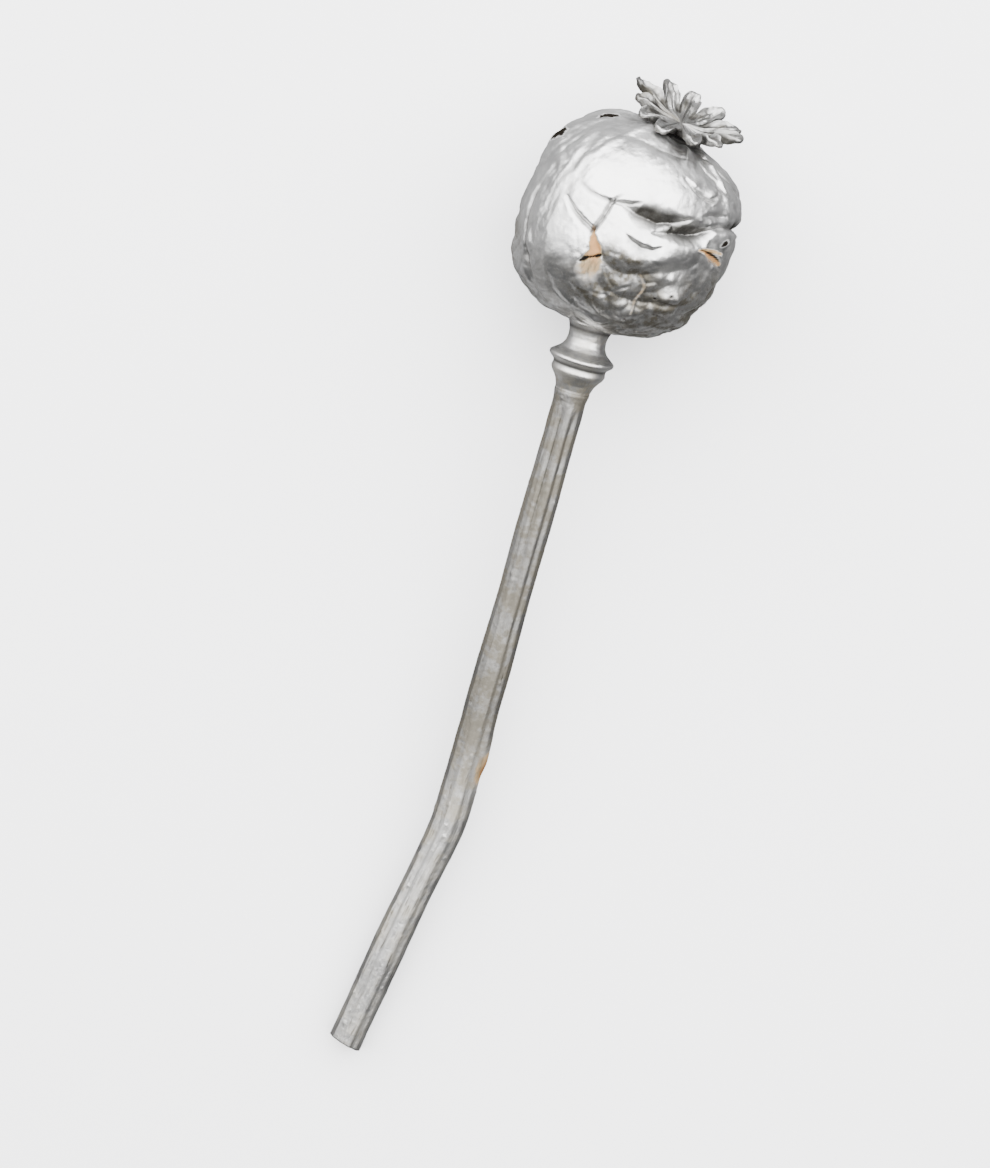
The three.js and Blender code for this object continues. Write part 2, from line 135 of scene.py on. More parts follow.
# The folds: points along the bottom of each with the depth there, how wide its upper and its lower
# wall are, and how the upper wall curves: 1 gives a straight one with a sharp edge, 2 a soft one
FOLDS = [
    (
        [
            (-101, 12.5, 0.3),
            (-96, 13.6, 0.6),
            (-91, 13.2, 1.0),
            (-87, 12.4, 1.7),
            (-80, 12.8, 2.2),
            (-75, 12.6, 2.3),
            (-70, 15, 1.9),
            (-64, 17.5, 1.3),
            (-59, 20.3, 0.6),
            (-56, 22, 0.1),
        ],
        4.0,
        3.3,
        1.8,
    ),
    (
        [
            (-76, 7, 0.3),
            (-70, 8.8, 1.2),
            (-64, 11, 2.1),
            (-58, 12.3, 2.8),
            (-52, 13.5, 3.0),
            (-47, 15.5, 2.5),
            (-43, 18.5, 1.4),
            (-38, 21, 0.9),
            (-30, 22.5, 1.0),
            (-20, 23, 1.3),
            (-8, 22.5, 1.7),
            (6, 21, 1.6),
            (20, 19, 0.4),
        ],
        3.8,
        3.2,
        1.5,
    ),
    ([(-88, 1.5, 0.2), (-84, -0.8, 0.9), (-78, -2, 1.1), (-72.5, -0.8, 1.0), (-69, 2.5, 0.2)], 1.1, 2.6, 1.2),
    (
        [
            (-98, -12, 0.15),
            (-93, -15.4, 0.3),
            (-87, -17.5, 0.4),
            (-79, -17.3, 0.4),
            (-73, -15.4, 0.45),
            (-66, -12, 0.4),
            (-56, -7.6, 0.35),
            (-50, -4.7, 0.25),
            (-43, 0.7, 0.1),
        ],
        3.2,
        3.2,
        1.3,
    ),
    ([(-102, 12, 0.6), (-102, 3, 0.6), (-104, -5, 0.7), (-102, -16, 0.4), (-99, -26, 0.2)], 1.0, 1.0, 2.0),
    ([(-125, 5, 0.2), (-118, 0.5, 0.6), (-112, -2, 0.7), (-104, -4.5, 0.6)], 1.0, 1.4, 1.5),
    ([(-68, 41, 0.2), (-60, 37.6, 0.5), (-51, 35.5, 0.7), (-46, 34.2, 0.6), (-41, 37, 0.4), (-38, 42, 0.2)], 1.2, 1.0, 1.5),
    ([(-44, 8, 0.3), (-38, 6.5, 0.9), (-32, 4.5, 1.2), (-25, 2.5, 0.8), (-18, 0, 0.3)], 1.2, 1.4, 1.5),
    ([(-50, 25, 0.2), (-44, 27, 0.6), (-36, 28, 0.7), (-28, 29, 0.2)], 1.4, 1.2, 1.5),
    ([(-121, 50, 0.1), (-108, 51.5, 0.2), (-95, 52, 0.3), (-82, 54.5, 0.35), (-70, 55, 0.1)], 3.0, 3.2, 2.0),
    ([(-141, 12, 0.15), (-147, -5, 0.3), (-138, -22, 0.2)], 1.8, 1.8, 2.0),
    ([(-84, -29, 0.2), (-70, -31, 0.5), (-56, -28, 0.5), (-40, -24, 0.2)], 2.4, 1.8, 2.0),
    ([(-157, 48, 0.1), (-153, 30, 0.35), (-157, 14, 0.3)], 1.8, 1.8, 2.0),
]

# The sharp wrinkles in the paint-stiffened skin: points along each with the depth there, and half
# its width
WRINKLES = [
    ([(-98, 18, 0.1), (-100.5, 15, 0.4), (-101, 11, 0.4), (-102, 3, 0.35), (-104, -4.5, 0.4)], 0.3),
    ([(-125, 5, 0.1), (-118, 0.5, 0.35), (-112, -2, 0.4), (-108, -2.8, 0.35), (-104, -4.5, 0.35)], 0.3),
    ([(-122, 13.5, 0.1), (-115, 12, 0.2), (-109, 12, 0.25), (-102, 12.5, 0.35)], 0.35),
    (
        [
            (-122, 13.5, 0.1),
            (-125.3, 19, 0.12),
            (-127, 25, 0.14),
            (-128.5, 32, 0.14),
            (-129, 39, 0.14),
            (-127, 46, 0.12),
            (-121, 53, 0.05),
        ],
        0.8,
    ),
    ([(-125, 5, 0.1), (-130, 15, 0.12), (-133, 24, 0.12), (-136, 33, 0.12), (-142, 45, 0.05)], 0.8),
    (
        [
            (-68, 41, 0.1),
            (-60, 37.6, 0.25),
            (-51, 35.5, 0.35),
            (-46.5, 34.2, 0.4),
            (-41, 36.5, 0.35),
            (-36, 41, 0.25),
            (-39, 44, 0.1),
        ],
        0.3,
    ),
    ([(-35, 64, 0.2), (-17, 54.5, 0.35), (-6, 44.5, 0.35), (5, 38, 0.2)], 0.35),
    ([(-50, 58, 0.15), (-45, 52.5, 0.3), (-36.5, 49, 0.3), (-28, 41, 0.15)], 0.35),
    ([(-102, 12.5, 0.2), (-97, 14.6, 0.35), (-92, 16, 0.4), (-88, 18.3, 0.2)], 0.3),
    ([(-93, -14.5, 0.1), (-98, -11, 0.3), (-102, -6, 0.1)], 0.3),
    ([(-62, 75, 0.0), (-66, 66, -0.45), (-69, 56, -0.4), (-70, 47, 0.0)], 0.8),
    ([(-168, -41, 0.2), (-166, -44, 0.35), (-149, -45, 0.2)], 0.5),
    ([(-69, -20, 0.1), (-66, -29, 0.25), (-65, -36, 0.25), (-61, -44, 0.1)], 0.35),
    ([(-150, 40, 0.1), (-147, 30, 0.2), (-149, 20, 0.1)], 0.5),
    ([(-143, 14, 0.1), (-148, -4, 0.25), (-146, -18, 0.35), (-141, -32, 0.35), (-138, -42, 0.1)], 0.4),
]

# The torn holes: longitude, latitude, half length, half width, how far its length is turned from
# level, and depth
HOLES = [
    (-171, 52.5, 1.8, 1.9, 90, 0.1),
    (-171, 26.5, 1.4, 3.0, 90, 0.12),
    (-29.5, 14.8, 0.62, 0.76, -50, 0.012),
    (-67, -44, 0.42, 0.3, -20, 0.35),
    (-48, -51, 0.4, 0.3, 30, 0.35),
    (-12, -34, 0.5, 0.3, 60, 0.35),
    (-58, -25, 0.3, 0.2, 0, 0.25),
    (-51, -20, 0.3, 0.2, 40, 0.25),
    (-95, 68, 0.26, 0.2, 0, 0.2),
    (-107, 66, 0.32, 0.22, 20, 0.25),
    (48, 25, 0.5, 0.34, 15, 0.4),
    (118, 41, 0.42, 0.3, 70, 0.35),
    (142, -12, 0.55, 0.3, 30, 0.4),
    (22, -36, 0.4, 0.3, -40, 0.35),
]

# Where the skin split and bare husk shows: points along each with half its width there and how
# fresh it is, from faded (0.4) to orange (1)
TEARS = [
    [
        (-103.5, -4.5, 0.3, 0.8),
        (-101.5, -8, 0.75, 0.95),
        (-98.8, -12.5, 1.2, 1.0),
        (-98.5, -17, 1.6, 0.7),
        (-98.7, -21, 2.1, 0.42),
        (-98.8, -25, 2.3, 0.24),
        (-98.0, -29.5, 1.9, 0.1),
    ],
    [(-46.5, 7.6, 0.2, 0.6), (-42, 7.8, 0.4, 0.8), (-37, 6.8, 0.5, 0.9), (-30, 5, 0.45, 0.95), (-22, 2.5, 0.3, 0.9)],
    [(-44, 8.6, 0.25, 0.5), (-37, 9.2, 0.4, 0.6), (-30, 8.9, 0.3, 0.5), (-26, 8.6, 0.2, 0.3)],
    [(-72, -15.5, 0.25, 0.2), (-67.5, -20, 0.35, 0.18), (-67, -24, 0.25, 0.26), (-68, -30, 0.4, 0.18), (-66.7, -37, 0.25, 0.2)],
    [(66, 20, 0.2, 0.6), (72, 14, 0.5, 0.8), (80, 10, 0.3, 0.6)],
]

# The slits across the tears, painted black as the shade inside them: points along each with half its width
SLITS = [
    [
        (-104.5, -20.2, 0.2),
        (-102.6, -18.4, 0.46),
        (-100.8, -17, 0.2),
        (-98.2, -15.6, 0.18),
        (-96.2, -14.4, 0.38),
        (-95, -13.6, 0.18),
    ],
    [(-45, 8.2, 0.1), (-38, 7.9, 0.24), (-31, 6.6, 0.26), (-25, 4.6, 0.12)],
]

# Patches of painted shade, where the paint is made thinner, and of painted highlight, where it is made thicker because
# the amount is below 0: longitude, latitude, amount and half width
SHADING_PATCHES = [
    (-91, -13, 0.9, 2.8),
    (-82, -15, 1.1, 2.6),
    (-74, -14, 0.95, 2.4),
    (-30, -32, 0.5, 4.0),
    (-64, -9, 0.25, 2.0),
    (-58, 15, 0.5, 3.0),
    (-80, 15, 0.5, 3.0),
    (-98, -30, 0.6, 3.0),
    (-34, -22, 0.5, 4.5),
    (-18, -10, 0.35, 4.0),
    (-113, -11, -0.45, 4.0),
    (-120, -38, -0.35, 6.0),
    (-140, -25, -0.35, 6.0),
    (-150, -50, -0.3, 6.0),
    (-100, -58, -0.3, 5.0),
    (-60, -11, -0.3, 2.4),
    (-50, -17, -0.45, 2.4),
    (-87, -50, -0.5, 2.6),
    (-72, -40, -0.4, 2.2),
]

# The soft bumps between creases, and the finer crumple over them
BUMPS = 86
BUMP_CREASE = 0.7
BUMP_FLATNESS = 1.5
FINE_BUMPS = 330
GOLDEN_TURN = math.pi * (3 - math.sqrt(5))

# The lobes of the crown: how far each lifts, how its tip bends on, and its length
LOBES = np.array(
    [
        (27, 2, 1.09),
        (22, 6, 1.05),
        (24, 8, 1.05),
        (24, 8, 1.01),
        (29, 8, 1.02),
        (16, 4, 1.07),
        (13, 2, 0.86),
        (-3, 0, 0.84),
        (4, -6, 0.9),
        (14, -4, 1.06),
        (20, 0, 0.98),
    ]
)
FIRST_LOBE = -8
LOBE_WAIST = 0.08  # how much narrower a lobe is than its share of the round
LOBE_COLUMNS = 48
CROWN_FACE_RINGS = 54
CROWN_RIM_RINGS = 8

# The stem's outline below the capsule: how far down, and the radius there
NECK_OUTLINE = np.array(
    [
        (-1.6, 4.8),
        (-0.8, 4.3),
        (0, 3.9),
        (0.9, 3.62),
        (2.0, 3.5),
        (3.1, 3.68),
        (4.1, 4.3),
        (4.8, 5.18),
        (5.3, 5.9),
        (5.7, 6.07),
        (6.1, 5.85),
        (6.6, 5.18),
        (7.1, 4.87),
        (7.6, 4.93),
        (8.1, 5.03),
        (8.7, 4.78),
        (9.5, 4.15),
        (10.4, 3.58),
        (11.5, 3.22),
        (12.3, 3.25),
        (12.8, 3.13),
        (13.7, 3.0),
    ]
)
NECK_ROOT = 1.6  # how far the neck runs up into the capsule
NECK_END = 13.7
STEM_ASIDE = 0.6  # the stem sits a little to +X under the capsule
FLUTES = 10
CUT_SLANT = 14.0
STEM_SWELLING = 0.15

# Grooves along the stem: where each lies round it and its depth
GROOVES = [(-109, 0.55), (-62, 0.22), (-160, 0.25), (20, 0.3), (95, 0.2), (150, 0.3)]
SCAR_DOWN = 82.4
SCAR_AT = -18.0
SCAR_HEIGHT = 0.6
HAIR_BASES = 240  # tiny raised dots where stiff hairs stood

# The photograph's view: how far the camera leans to the crown's side, and the plant's turn in it
CAMERA_LEAN = 7.9
CAMERA_ROLL = 20.0

# Where the table is mirrored brighter, to put painted highlights on the silver: the place, where the patch starts and
# ends, and its brightness
MIRRORED_HIGHLIGHTS = [
    ((-0.03, 0.12, 0.0), 0.16, 0.06, 0.15),
    ((-0.07, -0.02, 0.0), 0.06, 0.025, 0.13),
    ((-0.019, -0.062, 0.0), 0.032, 0.006, 0.32),
    ((0.012, -0.04, 0.0), 0.05, 0.01, 0.09),
]


class CapsuleSettings(bpy.types.PropertyGroup):
    """Sizes of the capsule."""

    radius: bpy.props.FloatProperty(
        name="Radius",
        description="Half of the capsule's width",
        default=0.020,
        unit="LENGTH",
        subtype="DISTANCE",
    )
    above: bpy.props.FloatProperty(
        name="Above",
        description="Height from the capsule's middle to its shoulders",
        default=0.018,
        unit="LENGTH",
        subtype="DISTANCE",
    )
    below: bpy.props.FloatProperty(
        name="Below",
        description="Depth from the capsule's middle to its neck",
        default=0.0199,
        unit="LENGTH",
        subtype="DISTANCE",
    )
    bump_height: bpy.props.FloatProperty(
        name="Bumps",
        description="How far the soft bumps of the shrunken wall stand up",
        default=0.0008,
        unit="LENGTH",
        subtype="DISTANCE",
    )
    crumple: bpy.props.FloatProperty(
        name="Crumple",
        description="How far the fine crumpled facets stand up",
        default=0.0005,
        unit="LENGTH",
        subtype="DISTANCE",
    )
    columns: bpy.props.IntProperty(
        name="Columns", description="Faces round the capsule", default=360, min=24
    )
    rings: bpy.props.IntProperty(
        name="Rings", description="Faces from the crown to the stem", default=268, min=16
    )


class CrownSettings(bpy.types.PropertyGroup):
    """Sizes of the crown."""

    reach: bpy.props.FloatProperty(
        name="Reach",
        description="From the crown's middle to a lobe's tip",
        default=0.0114,
        unit="LENGTH",
        subtype="DISTANCE",
    )
    notch: bpy.props.FloatProperty(
        name="Notch",
        description="From the crown's middle to the cut between two lobes",
        default=0.0062,
        unit="LENGTH",
        subtype="DISTANCE",
    )
    thickness: bpy.props.FloatProperty(
        name="Thickness",
        description="How thick the crown is at its middle",
        default=0.00095,
        unit="LENGTH",
        subtype="DISTANCE",
    )
    cup: bpy.props.FloatProperty(
        name="Cup",
        description="How far a lobe's edges curl up",
        default=0.0013,
        unit="LENGTH",
        subtype="DISTANCE",
    )
    ray: bpy.props.FloatProperty(
        name="Ray",
        description="How far the ray along a lobe's middle stands up",
        default=0.00045,
        unit="LENGTH",
        subtype="DISTANCE",
    )


class StemSettings(bpy.types.PropertyGroup):
    """Sizes of the stem."""

    length: bpy.props.FloatProperty(
        name="Length",
        description="From the capsule to the cut end",
        default=0.1454,
        unit="LENGTH",
        subtype="DISTANCE",
    )
    top_radius: bpy.props.FloatProperty(
        name="Top radius",
        description="Half of the stem's thickness under its collar",
        default=0.003,
        unit="LENGTH",
        subtype="DISTANCE",
    )
    end_radius: bpy.props.FloatProperty(
        name="End radius",
        description="Half of the stem's thickness at its cut end",
        default=0.0032,
        unit="LENGTH",
        subtype="DISTANCE",
    )
    columns: bpy.props.IntProperty(
        name="Columns", description="Faces round the stem", default=150, min=24
    )


class FinishSettings(bpy.types.PropertyGroup):
    """Colours of the sprayed husk."""

    silver: bpy.props.FloatVectorProperty(
        name="Silver",
        description="The silver paint where it lies thick",
        default=(0.70, 0.697, 0.69),
        min=0,
        max=1,
        subtype="COLOR",
    )
    # This colour is also the painted shade that the thinned-paint mark lays on.
    thin_silver_and_shade: bpy.props.FloatVectorProperty(
        name="Thin silver",
        description="The paint where the husk shows through it",
        default=(0.165, 0.152, 0.125),
        min=0,
        max=1,
        subtype="COLOR",
    )
    husk: bpy.props.FloatVectorProperty(
        name="Husk",
        description="The bare husk in a fresh tear",
        default=(0.31, 0.165, 0.072),
        min=0,
        max=1,
        subtype="COLOR",
    )
    faded_husk: bpy.props.FloatVectorProperty(
        name="Faded husk",
        description="The bare husk where it has faded",
        default=(0.26, 0.2, 0.12),
        min=0,
        max=1,
        subtype="COLOR",
    )
    roughness: bpy.props.FloatProperty(
        name="Roughness",
        description="How dull the thick paint is",
        default=0.36,
        min=0,
        max=1,
        subtype="FACTOR",
    )


class StudioSettings(bpy.types.PropertyGroup):
    """The table, the lights and the camera."""

    table: bpy.props.FloatVectorProperty(
        name="Table",
        description="Colour of the table",
        default=(0.86, 0.86, 0.87),
        min=0,
        max=1,
        subtype="COLOR",
    )
    softbox_power: bpy.props.FloatProperty(
        name="Softbox",
        description="Power of the large softbox above",
        default=190.0,
        unit="POWER",
    )
    side_power: bpy.props.FloatProperty(
        name="Side softbox",
        description="Power of the small softbox on the left",
        default=6.0,
        unit="POWER",
    )
    room_light: bpy.props.FloatProperty(
        name="Room light",
        description="Strength of the grey light from all round",
        default=0.08,
        min=0,
    )
    backdrop: bpy.props.FloatProperty(
        name="Backdrop",
        description="Brightness of the backdrop behind the table",
        default=4.0,
        min=0,
    )
    mirrored_table: bpy.props.FloatProperty(
        name="Mirrored table",
        description="How bright the table is where the silver mirrors it",
        default=0.02,
        min=0,
        max=1,
        subtype="FACTOR",
    )
    lens: bpy.props.FloatProperty(
        name="Lens",
        description="Focal length of the camera",
        default=100.0,
        unit="CAMERA",
    )
    frame_height: bpy.props.FloatProperty(
        name="Frame height",
        description="Height of the picture at the object",
        default=0.212,
        unit="LENGTH",
        subtype="DISTANCE",
    )


def bell(distance, width):
    """1 at no distance, fading away over the width."""
    return np.exp(-((distance / width) ** 2))


def smoothstep(value, start, end):
    """0 before start, 1 after end, and smooth between them."""
    share = np.clip((value - start) / (end - start), 0.0, 1.0)
    return share * share * (3.0 - 2.0 * share)


def scatter(n):
    """A repeatable number from 0 to 1 for each whole number."""
    value = np.sin(n * 12.9898 + 4.1414) * 43758.5453
    return value - np.floor(value)


def filleted_max(a, b, fillet):
    """The larger of two heights, with a round fillet where they meet."""
    overlap = np.maximum(fillet - np.abs(a - b), 0.0)
    return np.maximum(a, b) + overlap**2 / (4 * fillet)


def turn_between(start, end):
    """The shorter way round from one longitude to another."""
    return np.mod(end - start + 180.0, 360.0) - 180.0


def direction(longitude, latitude):
    """The direction of a longitude and a latitude."""
    turn, rise = np.radians(longitude), np.radians(latitude)
    return np.stack(
        [np.cos(rise) * np.cos(turn), np.cos(rise) * np.sin(turn), np.sin(rise)], axis=-1
    )


def wander(points, size, layers=3):
    """Smooth random heights at the points, from about -1 to 1, with waves of one size in mm."""
    return np.array([noise.fractal(Vector(p) / size, 1.0, 2.0, layers) for p in points])


def leaned(points, share):
    """Tips the upper capsule and the crown over to +X, most at the very top."""
    turn = np.radians(CROWN_LEAN) * share
    x, y, z = points.T
    return np.stack(
        [x * np.cos(turn) + z * np.sin(turn), y, z * np.cos(turn) - x * np.sin(turn)], axis=-1
    )


def laid_down(points, capsule, stem):
    """Lays the standing plant on the table, in metres, and presses it flat where it touches."""
    middle_height = capsule.radius / MM - FLAT_SPOT_DEPTH
    drop = middle_height - stem.end_radius / MM
    tilt = math.asin(drop / ((capsule.below + stem.length) / MM))
    x, y, z = points.T
    along = y * math.sin(tilt) + z * math.cos(tilt)
    height = z * math.sin(tilt) - y * math.cos(tilt) + middle_height
    return np.stack([x, along, np.maximum(height, 0.0)], axis=-1) * MM


def ringed(name, columns, rings, place):
    """A closed skin of rings round Z, from a pole above to a pole below.

    place(turn, ring) gives the laid points and the marks on the skin, a dictionary of values."""
    shape = bmesh.new()
    bmesh.ops.create_grid(shape, x_segments=columns, y_segments=rings, size=1.0)
    for vert in shape.verts:
        turn, down = math.pi * vert.co.x, math.pi * (1 - vert.co.y) / 2
        across = math.sin(down)
        vert.co = (across * math.cos(turn), across * math.sin(turn), math.cos(down))
    bmesh.ops.remove_doubles(shape, verts=shape.verts, dist=1e-5)
    mesh = bpy.data.meshes.new(name)
    shape.to_mesh(mesh)
    shape.free()

    start = np.empty(3 * len(mesh.vertices), np.float32)
    mesh.vertices.foreach_get("co", start)
    start = start.reshape(-1, 3).astype(float)
    across = np.hypot(start[:, 0], start[:, 1])
    ring = np.rint(np.arctan2(across, start[:, 2]) / math.pi * rings).astype(int)
    at_pole = (ring == 0) | (ring == rings)
    turn = np.where(at_pole, 0.0, np.degrees(np.arctan2(start[:, 1], start[:, 0])))
    points, marks = place(turn, ring)
    mesh.vertices.foreach_set("co", points.astype(np.float32).ravel())
    mesh.shade_smooth()
    mesh.update()
    for mark, values in marks.items():
        layer = mesh.attributes.new(mark, "FLOAT", "POINT")
        layer.data.foreach_set("value", np.clip(values, 0.0, 1.0).astype(np.float32))
    piece = bpy.data.objects.new(name, mesh)
    bpy.context.scene.collection.objects.link(piece)
    return piece


def along_path(toward, path, radius):
    """How far each direction is from a path over the capsule, how far above it, and its values there.

    A path is a row of points: longitude, latitude and then the values."""
    path = np.array(path, float)
    points = direction(path[:, 0], path[:, 1])
    away = np.full(len(toward), np.inf)
    above = np.zeros(len(toward))
    values = np.zeros((len(toward), path.shape[1] - 2))
    for i in range(len(path) - 1):
        way = points[i + 1] - points[i]
        up = np.cross(points[i + 1], points[i])
        up *= math.copysign(1.0, up[2]) / np.linalg.norm(up)
        share = np.clip((toward - points[i]) @ way / (way @ way), 0.0, 1.0)[:, None]
        offset = toward - points[i] - share * way
        distance = np.linalg.norm(offset, axis=1) * radius
        nearer = distance < away
        away = np.where(nearer, distance, away)
        above = np.where(nearer, offset @ up * radius, above)
        here = path[i, 2:] + share * (path[i + 1, 2:] - path[i, 2:])
        values = np.where(nearer[:, None], here, values)
    return away, above, values.T


def nearest_two(points, cells):
    """The nearest cell to each point, and the distances to it and to the second nearest."""
    index, nearest, second = [], [], []
    for part in np.array_split(points, len(points) // 4000 + 1):
        squares = (part**2).sum(1)[:, None] + (cells**2).sum(1) - 2 * part @ cells.T
        order = np.argpartition(squares, 1, axis=1)[:, :2]
        two = np.sqrt(np.maximum(np.take_along_axis(squares, order, axis=1), 0.0))
        first = np.argmin(two, axis=1)
        rows = np.arange(len(part))
        index.append(order[rows, first])
        nearest.append(two[rows, first])
        second.append(two[rows, 1 - first])
    return np.concatenate(index), np.concatenate(nearest), np.concatenate(second)


def spread(count, seed):
    """Directions spread evenly over a sphere, each a little out of place."""
    n = np.arange(count)
    height = 1 - 2 * (n + 0.5) / count
    across = np.sqrt(1 - height**2)
    turn = n * GOLDEN_TURN + 0.5 * (scatter(n + seed) - 0.5)
    return np.stack([across * np.cos(turn), across * np.sin(turn), height], axis=-1)


def rib_relief(longitude, latitude, radius):
    """How far the ribs stand up: strongest near the crown, gone near the stem."""
    fade = smoothstep(latitude, -75, -35) * (0.35 + 0.65 * smoothstep(latitude, 5, 60))
    sway = 2.5 * np.sin(np.radians(4 * latitude + longitude))
    relief = np.zeros(len(longitude))
    for at, height in RIBS:
        side = np.radians(turn_between(at + sway, longitude)) * np.cos(np.radians(latitude)) * radius
        relief += fade * height * bell(side, RIB_WIDTH)
    return relief


def fold_relief(toward, radius):
    """The deep folds, whose upper wall turns under, and the painted shade in them."""
    relief = np.zeros(len(toward))
    painted_shade = np.zeros(len(toward))
    ragged = 0.3 * wander(toward * radius, 2.0, 2)
    for path, upper, lower, curve in FOLDS:
        away, above, (depth,) = along_path(toward, path, radius)
        away = np.maximum(away + ragged * np.minimum(depth, 1.0), 0.0)
        deepest = max(point[2] for point in path)
        spread_out = np.maximum(depth / deepest, 0.15) * np.where(above > 0, upper, lower)
        share = np.clip(1 - away / spread_out, 0, 1)
        relief -= depth * share ** np.where(above > 0, curve, 2.0)
        inside = smoothstep(share, 0.1, np.where(above > 0, 0.6, 1.4))
        # Painted shade darkens the deeper folds.
        painted_shade = np.maximum(painted_shade, np.minimum(depth / 1.6, 1.0) ** 1.2 * inside)
    return relief, painted_shade


def wrinkle_relief(toward, radius):
    """The sharp wrinkles, with a faint raised edge, and the painted shade in them."""
    relief = np.zeros(len(toward))
    painted_shade = np.zeros(len(toward))
    for path, width in WRINKLES:
        away, _, (depth,) = along_path(toward, path, radius)
        relief += depth * (0.12 * bell(away - 2.4 * width, 1.4 * width) - bell(away, width))
        # Painted shade along the wrinkles.
        painted_shade = np.maximum(painted_shade, 2.2 * depth * bell(away, 0.9 * width))
    return relief, painted_shade


def swell_relief(toward, radius):
    """The broad swells and dents."""
    relief = np.zeros(len(toward))
    for longitude, latitude, height, width in SWELLS:
        away = np.linalg.norm(toward - direction(longitude, latitude), axis=1) * radius
        relief += height * bell(away, width)
    return relief


def crumple_relief(toward, height, radius):
    """Soft bumps: each point belongs to its nearest bump, with a sharp groove between two of them that also carries
    painted shade.
    """
    x, y, z = toward.T
    warped = np.stack(
        [
            x + 0.07 * np.sin(7 * y + 1),
            y + 0.07 * np.sin(6 * z + 2),
            (z + 0.05 * np.sin(8 * x)) * BUMP_FLATNESS,
        ],
        axis=-1,
    )
    bumps = spread(BUMPS, 0) * (1, 1, BUMP_FLATNESS)
    rise = height * (0.15 + 0.85 * scatter(np.arange(BUMPS) + 500))
    index, nearest, second = nearest_two(warped, bumps)
    edge = (second - nearest) * radius
    sharpness = 0.55 + 0.45 * np.sin(5 * x + 3 * z) * np.sin(4 * y - 2 * z)
    crease_shade_and_grain = sharpness * bell(edge, 1.5)
    return rise[index] * (1 - bell(edge, 4.2)) - BUMP_CREASE * crease_shade_and_grain, crease_shade_and_grain


def crumple_share(longitude, latitude):
    """Where the wall is crumpled: little on the smooth shoulders, the front, the base and the floor side."""
    shoulders = 1 - 0.85 * smoothstep(latitude, 22, 50)
    base = smoothstep(latitude, -85, -30)
    front = 1 - bell(turn_between(-86, longitude), 125) * (0.6 + 0.3 * smoothstep(latitude, -36, -8))
    left = 1 - 0.95 * bell(np.hypot(turn_between(-122, longitude), 1.2 * (latitude + 18)), 34)
    floor_side = 1 - 0.75 * bell(np.hypot(turn_between(90, longitude), latitude + 6), 22)
    return shoulders * base * front * left * floor_side


def fine_relief(toward, longitude, latitude, height, radius):
    """Small crumpled facets, tightest low down, over a faint unevenness everywhere, with painted shade along the
    facets' edges.
    """
    x, y, z = toward.T
    warped = toward + 0.02 * np.stack([np.sin(23 * y), np.sin(19 * z), np.sin(21 * x)], axis=-1)
    cells = spread(FINE_BUMPS, 90)
    index, nearest, second = nearest_two(warped, cells)
    edge = (second - nearest) * radius
    tilt = scatter(index + 40.0) - 0.5
    share = 0.04 + 0.96 * smoothstep(latitude, 2, -24) * smoothstep(latitude, -88, -60)
    share *= 1 - 0.85 * bell(np.hypot(turn_between(-120, longitude), 1.2 * (latitude + 20)), 30)
    facets = (1 + 0.9 * smoothstep(latitude, -10, -25)) * tilt * (1 - bell(edge, 1.8)) - 0.3 * bell(edge, 0.6)
    uneven = 0.22 * wander(toward * radius, 4.5, 2) * (0.5 + share) + 0.09 * wander(toward * radius, 1.0, 3)
    streaked = wander(toward * radius * (1, 1, 0.3), 1.7, 3) * smoothstep(np.abs(turn_between(-85, longitude)), 20, 50)
    uneven += 0.26 * streaked * smoothstep(latitude, -30, -5)
    return height * (share * facets + uneven), share * bell(edge, 0.4)


def hole_relief(toward, radius):
    """The torn holes with their slightly raised lips, and where they are open, which is painted near-black as the
    shade inside them.
    """
    relief = np.zeros(len(toward))
    opened = np.zeros(len(toward))
    ragged = 0.45 * wander(toward * radius, 1.3, 3)
    for longitude, latitude, length, width, turned, depth in HOLES:
        out = direction(longitude, latitude)
        east = np.array([-math.sin(math.radians(longitude)), math.cos(math.radians(longitude)), 0.0])
        north = np.cross(out, east)
        turn = math.radians(turned)
        offset = (toward - out) * radius
        u = offset @ (east * math.cos(turn) + north * math.sin(turn))
        v = offset @ (north * math.cos(turn) - east * math.sin(turn))
        ratio = np.hypot(u / length, v / width) + ragged * min(length, 1.0)
        same_side = toward @ out > 0
        inside = (1 - smoothstep(ratio, 0.75, 1.2)) * same_side
        lip = min(0.35 * depth, 0.05)
        relief += lip * bell(ratio - 1.45, 0.35) * same_side - depth * inside
        opened = np.maximum(opened, (1 - smoothstep(ratio, 1.0, 1.25)) * same_side)
    return relief, opened


def tear_relief(toward, radius):
    """The split places: bare husk a little below the paint, with curled edges, and the slit, painted black as the
    shade inside it.
    """
    relief = np.zeros(len(toward))
    bare = np.zeros(len(toward))
    ragged = wander(toward * radius, 1.1, 3)
    for path in TEARS:
        away, _, (width, fresh) = along_path(toward, path, radius)
        edge = away / width + 0.3 * ragged
        inside = 1 - smoothstep(edge, 0.2 + 0.5 * fresh, 1.5 - 0.35 * fresh)
        relief += 0.05 * bell(edge - 1.35, 0.3) - 0.12 * inside * fresh
        bare = np.maximum(bare, inside * fresh * (1 + 0.25 * ragged * (fresh < 0.6)))
    opened = np.zeros(len(toward))
    for path in SLITS:
        away, _, (width,) = along_path(toward, path, radius)
        open_here = 1 - smoothstep(away / width, 0.7, 1.25)
        relief += 0.02 * bell(away / width - 2.0, 0.7) - 0.8 * width * open_here
        opened = np.maximum(opened, open_here)
    return relief, bare, opened


